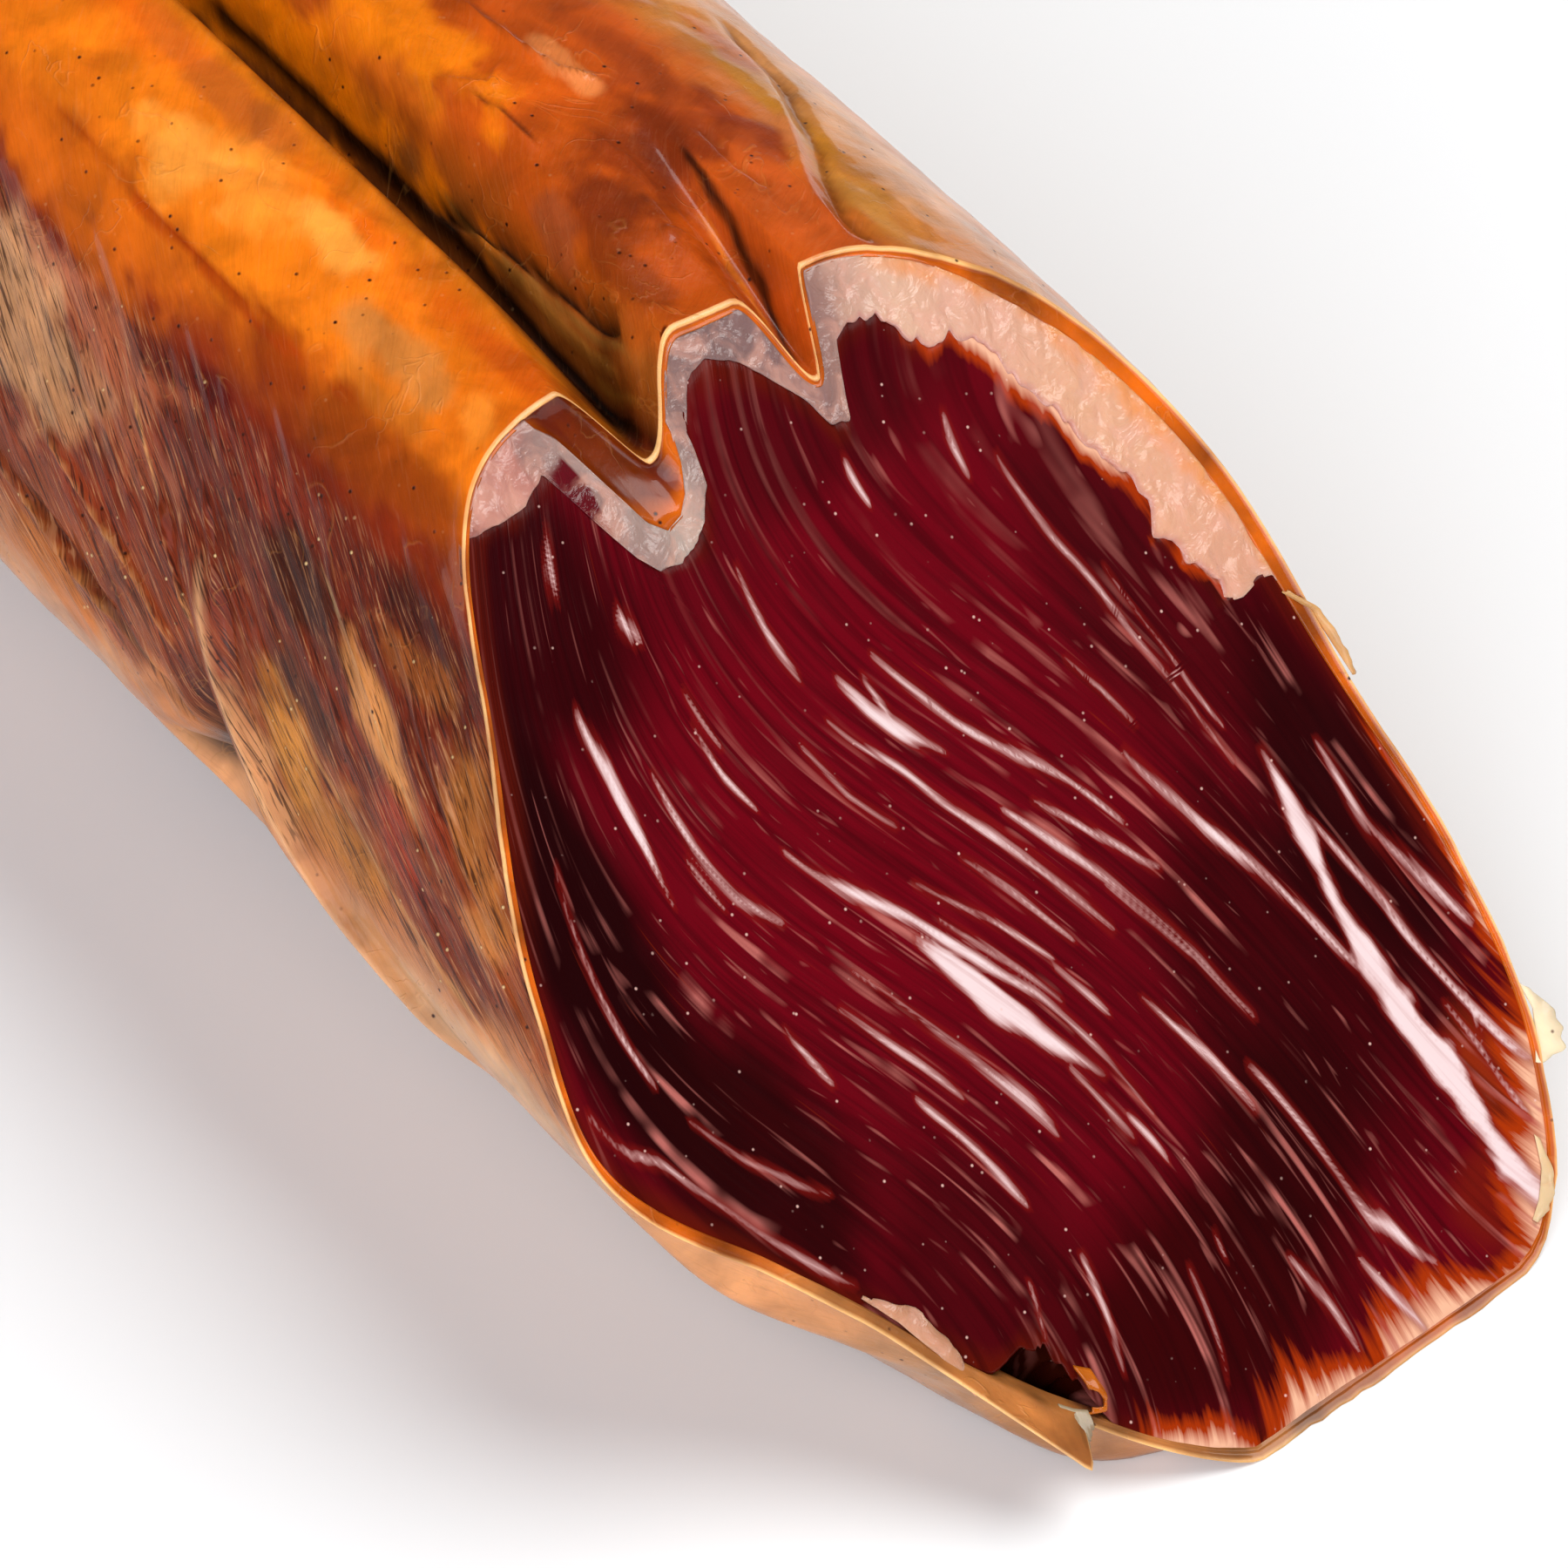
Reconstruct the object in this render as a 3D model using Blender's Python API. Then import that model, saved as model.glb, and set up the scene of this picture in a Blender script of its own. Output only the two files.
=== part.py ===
"""A piece of Iberian cured pork loin in its natural casing, cut slantwise at one end.

Metres, +Z up. The loin lies along X on its flattened underside, its cut face looks up
and towards +X, and the middle of its box stands over the origin.

Three layers make it: the casing, the fat that runs along the top under the casing and
down into both creases, and the lean meat. Every layer is a loft of sections drawn round
one straight line, the heart of the loin. The outer surface of the casing is worked out
first, and each layer under it is set in from there by the thickness of what covers it.
"""

import math
from dataclasses import dataclass

import bmesh
import bpy
import numpy as np

MM = 0.001

# The whole piece
LENGTH = 280 * MM  # from the round end to the foot of the slanted cut
HEART_HEIGHT = 30 * MM  # of the line that the sections are drawn round
CUT_SLANT = 1.15  # how far the cut runs back for each metre up
CUT_YAW = 0.10  # and for each metre towards +Y
SHRINK_BEHIND = 0.035  # share by which the loin is slimmer far behind the cut
SHRINK_LENGTH = 90 * MM
SWELLING = 0.018  # slow swelling and thinning along the hidden half
SWELLING_LENGTH = 150 * MM

# Outer surface of the casing round the heart, seen from the cut: the angle in degrees,
# anticlockwise from +Y, the radius at the cut and the radius behind it, in millimetres
SECTION = (
    (0, 36.4, 36.8),
    (20, 36.8, 36.9),
    (42, 36.2, 36.4),
    (62, 34.4, 34.8),
    (84, 32.0, 32.8),
    (106, 33.9, 34.0),
    (127, 38.4, 38.0),
    (148, 36.8, 37.2),
    (168, 38.2, 38.0),
    (181, 38.8, 38.4),
    (197, 31.2, 35.4),
    (214, 27.4, 33.2),
    (240, 26.4, 33.2),
    (271, 30.2, 31.2),
    (300, 34.8, 35.2),
    (316, 41.8, 40.6),
    (331, 42.2, 41.6),
    (345, 39.4, 39.6),
)
FILL_OUT_LENGTH = 9 * MM  # the section goes from the one radius to the other
BELLY_ANGLE = 228  # low on the left the section fills out more slowly
BELLY_WIDTH = 34
BELLY_LENGTH = 26 * MM

# Round end
END_LENGTH = 50 * MM
END_POWER = 2.4
CREASE_FADE = 70 * MM  # the creases run out towards the round end
PLEATS = 9
PLEAT_DEPTH = 1.1 * MM

# Layers
GAP = 0.3 * MM
CASING_THICKNESS = 0.9 * MM
END_THICKENING = 1.6 * MM  # the casing is gathered at the round end
END_SLACK = 0.4 * MM  # the meat stops a little short of the gathered casing
FAT_START = 26 * MM  # from the round end
FAT_GROWTH = 40 * MM
FAT_EDGE = 0.5 * MM
# Thickness of the fat layer round the top: degrees and millimetres
FAT_THICKNESS = (
    (10, 0.5),
    (14, 5.0),
    (24, 5.6),
    (38, 5.0),
    (50, 3.6),
    (60, 3.8),
    (69, 3.2),
    (75, 2.2),
    (84, 1.7),
    (95, 1.5),
    (108, 1.7),
    (113, 0.9),
    (119, 2.6),
    (125, 2.8),
    (131, 0.5),
)

# Loose edge of the casing at the cut: it stands proud of the meat all round, and at the
# lower left it has come away as a pointed flap over a small hollow
LIP = 0.5 * MM
FLAP_ANGLE = 238
FLAP_LENGTH = 4.0 * MM
FLAP_RISE = 26  # degrees on the long side of the flap
FLAP_FALL = 6  # degrees on its torn side
HOLLOW_DEPTH = 2.2 * MM
HOLLOW_LENGTH = 8 * MM
HOLLOW_WIDTH = 11  # degrees to each side

# Fineness of the loft
RINGS = 24
POINTS = 64
OUTLINE_SPLIT = 6
RAY_STEPS = 160


@dataclass(frozen=True)
class Crease:
    """A furrow along the top of the loin; widths in degrees, the rest in metres."""

    angle: float
    left_width: float
    right_width: float
    depth_at_cut: float
    depth_behind: float
    change_length: float
    filling: float  # folded casing at the bottom of the crease, at the cut
    drift: float  # degrees that the crease turns by behind the cut


MAIN_CREASE = Crease(107.5, 4.5, 15.0, 5.4 * MM, 9.0 * MM, 14 * MM, 2.4 * MM, -3.0)
SHORT_CREASE = Crease(74.5, 9.0, 2.4, 5.4 * MM, 0.0, 20 * MM, 0.2 * MM, 0.0)
CREASES = (MAIN_CREASE, SHORT_CREASE)


def ease(share):
    """Go smoothly from 0 to 1 as share does, and stay there beyond it."""
    share = np.clip(share, 0.0, 1.0)
    return share * share * (3.0 - 2.0 * share)


def turn_between(angle, other):
    """Smallest signed turn in degrees from other to angle."""
    return (angle - other + 180.0) % 360.0 - 180.0


def closed_curve(angle, knots, values):
    """Read a smooth closed curve through the knots, in degrees, at each angle."""
    knots = np.concatenate((knots[-2:] - 360.0, knots, knots[:2] + 360.0))
    values = np.concatenate((values[-2:], values, values[:2]))
    slopes = (values[2:] - values[:-2]) / (knots[2:] - knots[:-2])
    knots, values = knots[1:-1], values[1:-1]
    low = np.searchsorted(knots, angle, side="right") - 1
    low = np.clip(low, 0, len(knots) - 2)
    span = knots[low + 1] - knots[low]
    t = (angle - knots[low]) / span
    start = (1 + 2 * t) * (1 - t) ** 2 * values[low] + t * (1 - t) ** 2 * span * slopes[low]
    end = t * t * (3 - 2 * t) * values[low + 1] - t * t * (1 - t) * span * slopes[low + 1]
    return start + end


def point_angles():
    """Angles of the points round a ring; they crowd together in the creases."""
    fine = np.linspace(0.0, 360.0, 3601)
    crowding = np.ones_like(fine)
    for crease in CREASES:
        offset = turn_between(fine, crease.angle) / (crease.left_width + crease.right_width)
        crowding += 3.6 * np.exp(-((2.4 * offset) ** 2))
    count = np.concatenate(([0.0], np.cumsum(0.5 * (crowding[1:] + crowding[:-1]))))
    return np.interp(np.arange(POINTS) * count[-1] / POINTS, count, fine)


def crease_share(crease, angle, behind):
    """How much of a crease's depth a place has: 1 at its bottom, 0 outside it."""
    turn = turn_between(angle, crease.angle + crease.drift * ease(behind / crease.change_length))
    width = np.where(turn > 0, crease.left_width, crease.right_width)
    return 0.5 + 0.5 * np.cos(np.pi * np.clip(np.abs(turn) / width, 0.0, 1.0))


def crease_depth(crease, behind):
    """Depth of a crease at a distance behind the cut."""
    change = ease(behind / crease.change_length)
    return crease.depth_at_cut + (crease.depth_behind - crease.depth_at_cut) * change


def outer_radius(angle, behind, from_end):
    """Radius of the casing's outer surface, from the distance behind the cut and from the end."""
    knots, at_cut, body = (np.array(column, float) for column in zip(*SECTION))
    at_cut = closed_curve(angle, knots, at_cut * MM)
    body = closed_curve(angle, knots, body * MM)
    filled = ease(behind / FILL_OUT_LENGTH)
    belly = ease(1.0 - np.abs(turn_between(angle, BELLY_ANGLE)) / BELLY_WIDTH)
    slowly = 1.0 - (1.0 - np.clip(behind / BELLY_LENGTH, 0.0, 1.0)) ** 1.6
    radius = at_cut + (body - at_cut) * (filled + belly * (slowly - filled))
    kept = ease(from_end / CREASE_FADE)
    for crease in CREASES:
        depth = crease_depth(crease, behind) * crease_share(crease, angle, behind)
        radius = radius - kept * depth
    radius = radius * (1.0 - SHRINK_BEHIND * ease(behind / SHRINK_LENGTH))
    hidden = np.maximum(behind - SHRINK_LENGTH, 0.0)
    radius = radius * (1.0 + SWELLING * np.sin(2 * math.pi * hidden / SWELLING_LENGTH))
    ended = np.clip(1.0 - from_end / END_LENGTH, 0.0, 1.0)
    pleat = PLEAT_DEPTH * np.sin(math.pi * np.minimum(ended, 1.0)) ** 2
    radius = radius - pleat * (0.5 - 0.5 * np.cos(PLEATS * np.radians(angle)))
    return radius * (1.0 - ended**END_POWER) ** (1.0 / END_POWER)


class Loin:
    """Works out the rings of points that every layer is lofted through."""

    def __init__(self):
        self.angle = point_angles()
        self.ray = np.stack((np.cos(np.radians(self.angle)), np.sin(np.radians(self.angle))), 1)
        self.along = 0.5 - 0.5 * np.cos(np.pi * np.arange(1, RINGS + 1) / RINGS)
        knots, at_cut, _ = (np.array(column, float) for column in zip(*SECTION))
        cut_radius = closed_curve(self.angle, knots, at_cut * MM)[:, None]
        length = self.length_to_cut(self.ray * cut_radius)
        self.from_end = self.along[:, None] * length
        self.behind = (1.0 - self.along[:, None]) * length
        radius = outer_radius(self.angle, self.behind, self.from_end)
        falling = np.minimum(self.ray[:, 1], -1e-6)
        floor = np.where(self.ray[:, 1] < 0, -HEART_HEIGHT / falling, np.inf)
        self.outer = self.ray * np.minimum(radius, floor)[:, :, None]

    @staticmethod
    def length_to_cut(section):
        """Length from the round end to the cut, at points (y, z) from the heart."""
        foot = LENGTH - CUT_SLANT * HEART_HEIGHT
        return foot - CUT_SLANT * section[..., 1] - CUT_YAW * section[..., 0]

    def set_in(self, depth):
        """Move the outer surface's points in along their rays to a depth under it."""
        inner = np.empty_like(self.outer)
        share = np.linspace(1.0, 0.1, RAY_STEPS)
        split = np.arange(OUTLINE_SPLIT)[:, None, None] / OUTLINE_SPLIT
        for ring, wanted, result in zip(self.outer, depth, inner):
            outline = ring + (np.roll(ring, -1, axis=0) - ring) * split
            outline = outline.reshape(-1, 2)
            points = ring[:, None, :] * share[None, :, None]
            apart = points[:, :, None, :] - outline[None, None, :, :]
            distance = np.sqrt((apart**2).sum(-1).min(-1))
            first = np.maximum((distance >= wanted[:, None]).argmax(1), 1)
            row = np.arange(len(ring))
            before, after = distance[row, first - 1], distance[row, first]
            part = np.clip((wanted - before) / np.maximum(after - before, 1e-9), 0.0, 1.0)
            result[:] = ring * (share[first - 1] + (share[first] - share[first - 1]) * part)[:, None]
        return inner

    def place(self, section, rings=slice(None), forward=0.0):
        """Give points (y, z) from the heart their place in the part's own frame."""
        along = self.along[rings, None]
        x = along * self.length_to_cut(section) + forward
        return np.stack((x, section[..., 0], section[..., 1] + HEART_HEIGHT), -1)

    def rounding(self):
        """How far into the round end each point is: 0 before it, 1 at its tip."""
        return np.clip(1.0 - self.from_end / END_LENGTH, 0.0, 1.0)

    def casing_depth(self):
        """Thickness of the casing, with its folds at the bottom of the creases."""
        depth = CASING_THICKNESS + END_THICKENING * self.rounding()
        for crease in CREASES:
            fold = crease.filling * (1.0 - ease(self.behind / crease.change_length))
            depth = depth + fold * crease_share(crease, self.angle, self.behind)
        return depth

    def hollow_depth(self):
        """Depth of the small hollow between the meat and the flap of casing."""
        side = np.clip(np.abs(turn_between(self.angle, FLAP_ANGLE)) / HOLLOW_WIDTH, 0.0, 1.0)
        near = 1.0 - ease(self.behind / HOLLOW_LENGTH)
        return HOLLOW_DEPTH * near * (0.5 + 0.5 * np.cos(np.pi * side))

    def fat_depth(self):
        """Thickness of the fat layer, thinning out towards the round end."""
        knots, thickness = (np.array(column, float) for column in zip(*FAT_THICKNESS))
        full = np.interp(self.angle, knots, thickness * MM)
        full[np.flatnonzero(self.on_top())[[0, -1]]] = FAT_EDGE
        growth = ease((self.from_end - FAT_START) / FAT_GROWTH)
        return FAT_EDGE + (full - FAT_EDGE) * growth

    def first_fat_ring(self):
        """Index of the ring that the fat layer begins at."""
        return int((self.from_end.min(1) < FAT_START).sum())

    def on_top(self):
        """Which angles the fat layer covers."""
        return (self.angle >= FAT_THICKNESS[0][0]) & (self.angle <= FAT_THICKNESS[-1][0])

    def lip_length(self):
        """How far the casing's edge stands out beyond the cut face."""
        turn = turn_between(self.angle, FLAP_ANGLE)
        width = np.where(turn < 0, FLAP_RISE, FLAP_FALL)
        return LIP + FLAP_LENGTH * ease(1.0 - np.abs(turn) / width)


def add_grid(mesh, points, closed):
    """Add rows of vertices joined by faces, and close each row round when asked."""
    rows = [[mesh.verts.new(point) for point in row] for row in points]
    count = len(rows[0])
    for row, following in zip(rows, rows[1:]):
        for index in range(count if closed else count - 1):
            after = (index + 1) % count
            mesh.faces.new((row[index], row[after], following[after], following[index]))
    return rows


def join_rows(mesh, row, other, closed):
    """Join two rows of vertices by a strip of faces."""
    count = len(row)
    for index in range(count if closed else count - 1):
        after = (index + 1) % count
        mesh.faces.new((row[index], other[index], other[after], row[after]))


def close_with_fan(mesh, row):
    """Close a ring of vertices with a fan round its middle."""
    middle = sum((vert.co for vert in row), row[0].co * 0.0) / len(row)
    middle = mesh.verts.new(middle)
    for vert, following in zip(row, row[1:] + row[:1]):
        mesh.faces.new((vert, following, middle))


def finish_object(mesh, name, material, collection):
    """Turn the faces outwards and make the mesh an object in the collection."""
    bmesh.ops.recalc_face_normals(mesh, faces=mesh.faces[:])
    data = bpy.data.meshes.new(name)
    mesh.to_mesh(data)
    mesh.free()
    data.shade_smooth()
    data.set_sharp_from_angle(angle=math.radians(45))
    data.materials.append(material)
    piece = bpy.data.objects.new(name, data)
    collection.objects.link(piece)
    return piece


def make_material(name, colour, roughness):
    """Make a plain Principled material; the colour is linear."""
    material = bpy.data.materials.new(name)
    material.use_nodes = True
    shader = material.node_tree.nodes["Principled BSDF"]
    shader.inputs["Base Color"].default_value = (*colour, 1.0)
    shader.inputs["Roughness"].default_value = roughness
    shader.inputs["Metallic"].default_value = 0.0
    return material


def make_casing(loin, middle, collection):
    """Loft the casing: a closed sleeve with a round end, open at the cut."""
    outer = loin.place(loin.outer)
    inner = loin.place(loin.set_in(loin.casing_depth()))[1:]
    lip = loin.lip_length()
    edges = []
    for surface in (outer, inner):
        edge = surface[-1].copy()
        edge[:, 0] += lip
        edges.append(np.concatenate((surface, edge[None])) - middle)
    mesh = bmesh.new()
    outer_rows = add_grid(mesh, edges[0], closed=True)
    inner_rows = add_grid(mesh, edges[1], closed=True)
    join_rows(mesh, outer_rows[-1], inner_rows[-1], closed=True)
    close_with_fan(mesh, outer_rows[0])
    close_with_fan(mesh, inner_rows[0])
    material = make_material("dried_casing", (0.43, 0.14, 0.03), 0.35)
    return finish_object(mesh, "casing", material, collection)


def make_fat_cap(loin, middle, collection):
    """Loft the fat layer between its two edges along the top of the loin."""
    top = loin.on_top()
    under_casing = loin.casing_depth() + GAP
    rows = slice(loin.first_fat_ring(), None)
    grids = []
    for depth in (under_casing, under_casing + loin.fat_depth()):
        section = loin.set_in(depth)[rows]
        grids.append(loin.place(section, rows)[:, top] - middle)
    mesh = bmesh.new()
    outer_rows, inner_rows = (add_grid(mesh, grid, closed=False) for grid in grids)
    join_rows(mesh, outer_rows[0], inner_rows[0], closed=False)
    join_rows(mesh, outer_rows[-1], inner_rows[-1], closed=False)
    for side in (0, -1):
        edge, other = ([row[side] for row in rows] for rows in (outer_rows, inner_rows))
        join_rows(mesh, edge, other, closed=False)
    material = make_material("back_fat", (0.78, 0.55, 0.44), 0.4)
    return finish_object(mesh, "fat_cap", material, collection)


def make_lean(loin, middle, collection):
    """Loft the lean meat, with its flat face at the cut."""
    depth = loin.casing_depth() + loin.hollow_depth() + GAP
    covered = np.zeros_like(depth)
    covered[loin.first_fat_ring():, loin.on_top()] = 1.0
    depth = depth + covered * (loin.fat_depth() + GAP)
    forward = END_SLACK * loin.rounding()[1:]
    points = loin.place(loin.set_in(depth)[1:], slice(1, None), forward) - middle
    mesh = bmesh.new()
    rows = add_grid(mesh, points, closed=True)
    close_with_fan(mesh, rows[0])
    mesh.faces.new(rows[-1])
    material = make_material("cured_lean", (0.16, 0.008, 0.012), 0.3)
    return finish_object(mesh, "lean_meat", material, collection)


def main():
    """Clear the scene and build the three layers of the loin."""
    for item in list(bpy.data.objects):
        bpy.data.objects.remove(item, do_unlink=True)
    collection = bpy.data.collections.new("cured_pork_loin")
    bpy.context.scene.collection.children.link(collection)
    loin = Loin()
    outer = loin.place(loin.outer)
    rim = outer[-1].copy()
    rim[:, 0] += loin.lip_length()
    every = np.concatenate((outer.reshape(-1, 3), rim))
    middle = 0.5 * (every.min(0) + every.max(0))
    middle[2] = every[:, 2].min()
    make_casing(loin, middle, collection)
    make_fat_cap(loin, middle, collection)
    make_lean(loin, middle, collection)


main()
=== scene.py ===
"""Looks of a piece of cured pork loin: its casing, its layer of fat and its marbled cut face.

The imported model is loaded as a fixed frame, and each of its three layers is replaced by a
finely modelled piece of the same form. Every layer is a loft of rings round one straight
line, the heart of the loin. A place on the loin is given by how far it is behind the cut
and by its angle round the heart, anticlockwise from +Y as seen from the cut. Metres,
+Z up, unless a name or a docstring says millimetres or degrees.
"""

import itertools
import logging
import math
from dataclasses import dataclass
from enum import Enum
from functools import cached_property

import bpy
import numpy as np
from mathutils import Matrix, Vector
from mathutils.kdtree import KDTree


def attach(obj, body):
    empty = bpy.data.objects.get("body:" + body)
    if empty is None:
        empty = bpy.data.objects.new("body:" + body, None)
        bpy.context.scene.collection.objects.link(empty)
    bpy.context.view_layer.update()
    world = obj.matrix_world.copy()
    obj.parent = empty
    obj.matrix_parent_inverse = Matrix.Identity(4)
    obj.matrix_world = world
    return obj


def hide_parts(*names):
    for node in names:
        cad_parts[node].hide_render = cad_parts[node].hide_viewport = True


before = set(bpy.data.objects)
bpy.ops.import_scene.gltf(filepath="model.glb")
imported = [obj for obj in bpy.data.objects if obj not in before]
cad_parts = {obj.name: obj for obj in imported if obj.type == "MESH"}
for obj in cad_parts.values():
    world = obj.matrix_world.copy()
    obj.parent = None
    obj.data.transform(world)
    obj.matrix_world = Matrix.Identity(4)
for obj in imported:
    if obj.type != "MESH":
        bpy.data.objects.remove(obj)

MM = 0.001
STREAK_EDGE = 0.36  # millimetres over which a streak of marbling fades in
STREAK_CORE = 1.6  # largest value inside it
log = logging.getLogger("cured_loin")

Tree = bpy.types.NodeTree
Socket = bpy.types.NodeSocket


class Slot(Enum):
    """Material slots of the record."""

    CASING = "casing"
    FAT = "fat"
    LEAN = "lean"


class Attribute(Enum):
    """What a mesh tells its material at each point."""

    PAINT = "paint"
    FIBRE = "fibre"
    MARBLING = "marbling"
    RIM = "rim"
    SKIN_MAP = "skin_map"
    GRAIN_MAP = "grain_map"


# Numbers and colours


def ease(share: float | np.ndarray) -> np.ndarray:
    """Go smoothly from 0 to 1 as share does, and stay there beyond it."""
    share = np.clip(share, 0.0, 1.0)
    return share * share * (3.0 - 2.0 * share)


def turn_between(angle: np.ndarray, other: float | np.ndarray) -> np.ndarray:
    """Smallest signed turn in degrees from other to angle."""
    return (angle - other + 180.0) % 360.0 - 180.0


def linear_colour(code: str) -> tuple[float, float, float]:
    """Turn an sRGB hex colour to linear values."""
    shares = (int(code[place : place + 2], 16) / 255 for place in (1, 3, 5))
    return tuple(s / 12.92 if s <= 0.04045 else ((s + 0.055) / 1.055) ** 2.4 for s in shares)


def rgba(code: str) -> tuple[float, float, float, float]:
    """Turn an sRGB hex colour to a linear socket value."""
    return (*linear_colour(code), 1.0)


def lay(base: np.ndarray, share: np.ndarray, colour: str | np.ndarray) -> np.ndarray:
    """Mix colours towards another one.

    Args:
        base: a linear colour for each place.
        share: how much of the other colour each place gets.
        colour: a hex colour, or linear colours.

    Returns:
        The mixed linear colours.
    """
    if isinstance(colour, str):
        colour = np.array(linear_colour(colour))
    return base + share[..., None] * (colour - base)


def table_columns(table: tuple[tuple[float, ...], ...]) -> np.ndarray:
    """Turn rows of numbers into one array for each column."""
    return np.array(table, float).T.copy()


def lengths_along(line: np.ndarray) -> np.ndarray:
    """Length along a line of straight steps that each of its corners is at."""
    return np.concatenate(([0.0], np.cumsum(np.hypot(*np.diff(line, axis=0).T))))


def closed_curve(angle: np.ndarray, knots: np.ndarray, values: np.ndarray) -> np.ndarray:
    """Read a smooth closed curve through its knots.

    Args:
        angle: degrees to read the curve at, from 0 to 360.
        knots: rising degrees of the knots.
        values: the curve's values at the knots.

    Returns:
        The curve's values at the angles.
    """
    knots = np.concatenate((knots[-2:] - 360.0, knots, knots[:2] + 360.0))
    values = np.concatenate((values[-2:], values, values[:2]))
    slopes = (values[2:] - values[:-2]) / (knots[2:] - knots[:-2])
    knots, values = knots[1:-1], values[1:-1]
    low = np.clip(np.searchsorted(knots, angle, side="right") - 1, 0, len(knots) - 2)
    span = knots[low + 1] - knots[low]
    t = (angle - knots[low]) / span
    start = (1 + 2 * t) * (1 - t) ** 2 * values[low] + t * (1 - t) ** 2 * span * slopes[low]
    end = t * t * (3 - 2 * t) * values[low + 1] - t * t * (1 - t) * span * slopes[low + 1]
    return start + end


def soft_noise(points: np.ndarray, size: float, seed: int = 0, octaves: int = 3) -> np.ndarray:
    """Read smooth seeded noise at points.

    Args:
        points: rows of coordinates, in two or three dimensions.
        size: width of the largest bumps, in the coordinates' unit.
        seed: picks another pattern.
        octaves: how many times finer bumps of half the height are added.

    Returns:
        A value of about -1 to 1 for each point.
    """
    total = np.zeros(points.shape[:-1])
    strides = np.array((73856093, 19349663, 83492791))[: points.shape[-1]]
    for octave in range(octaves):
        scaled = points * (2.0**octave / size) + 31.7 * (seed + 1) + 5.3 * octave
        cell = np.floor(scaled)
        share = scaled - cell
        share = share * share * (3.0 - 2.0 * share)
        for corner in itertools.product((0, 1), repeat=points.shape[-1]):
            key = ((cell.astype(np.int64) + corner) * strides).sum(-1) & 0x7FFFFFFF
            key = ((key ^ (key >> 13)) * 1274126177) & 0x7FFFFFFF
            key = (key ^ (key >> 15)) & 0xFFFF
            weight = np.where(np.array(corner) == 1, share, 1.0 - share).prod(-1)
            total += weight * (key / 32767.5 - 1.0) * 0.5**octave
    return total


def to_line(points: np.ndarray, line: np.ndarray) -> tuple[np.ndarray, np.ndarray, np.ndarray]:
    """Measure points against a line of straight steps.

    Args:
        points: rows of two coordinates.
        line: the line's corners.

    Returns:
        Each point's distance from the line, a number that is negative on its right, and
        the length along the line, which runs on beyond both ends.
    """
    lengths = lengths_along(line)
    best = np.full(points.shape[:-1], 1e9)
    side = np.ones(best.shape)
    along = np.zeros(best.shape)
    for start, end, reached in zip(line, line[1:], lengths):
        step = end - start
        length = np.hypot(*step)
        share = ((points - start) @ step) / length**2
        away = points - start - np.clip(share, 0.0, 1.0)[..., None] * step
        distance = np.hypot(away[..., 0], away[..., 1])
        nearer = distance < best
        best = np.where(nearer, distance, best)
        side = np.where(nearer, step[0] * away[..., 1] - step[1] * away[..., 0], side)
        along = np.where(nearer, reached + share * length, along)
    return best, side, along


# The form of the loin, as in the part's source


@dataclass(frozen=True)
class Crease:
    """A furrow along the top of the loin; widths in degrees, the rest in metres."""

    angle: float
    left_width: float
    right_width: float
    depth_at_cut: float
    depth_behind: float
    change_length: float
    drift: float = 0.0  # degrees that it turns by behind the cut

    def share(self, angle: np.ndarray, behind: np.ndarray) -> np.ndarray:
        """How much of the depth a place has: 1 at the bottom, 0 outside the crease."""
        turn = turn_between(angle, self.angle + self.drift * ease(behind / self.change_length))
        width = np.where(turn > 0, self.left_width, self.right_width)
        return 0.5 + 0.5 * np.cos(np.pi * np.clip(np.abs(turn) / width, 0.0, 1.0))

    def depth(self, behind: np.ndarray) -> np.ndarray:
        """Depth at a distance behind the cut."""
        change = ease(behind / self.change_length)
        return self.depth_at_cut + (self.depth_behind - self.depth_at_cut) * change


@dataclass(frozen=True)
class Fold:
    """A ridge or furrow of the casing along a line of (mm behind the cut, degrees).

    Its height is in millimetres, negative for a furrow, and so are its half widths: the
    one on the side of the smaller angle, the other, and the length it fades over.
    """

    line: tuple[tuple[float, float], ...]
    height: float
    width: float
    other_width: float
    fade: float = 4.0

    def rise(self, behind: np.ndarray, arc: np.ndarray, radius: float) -> np.ndarray:
        """Work out how far the fold lifts the casing.

        Args:
            behind: millimetres behind the cut.
            arc: angle times radius, in millimetres.
            radius: millimetres that turn degrees into arc length.

        Returns:
            Millimetres outwards, for each place.
        """
        line = np.array(self.line) * (1.0, math.radians(radius))
        length = np.hypot(*np.diff(line, axis=0).T).sum()
        best, side, along = to_line(np.stack((behind, arc), -1), line)
        width = np.where(side < 0, self.width, self.other_width)
        profile = 0.5 + 0.5 * np.cos(np.pi * np.clip(best / width, 0.0, 1.0))
        ends = ease(along / self.fade + 0.5) * ease((length - along) / self.fade + 0.5)
        return self.height * profile * ends


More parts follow.
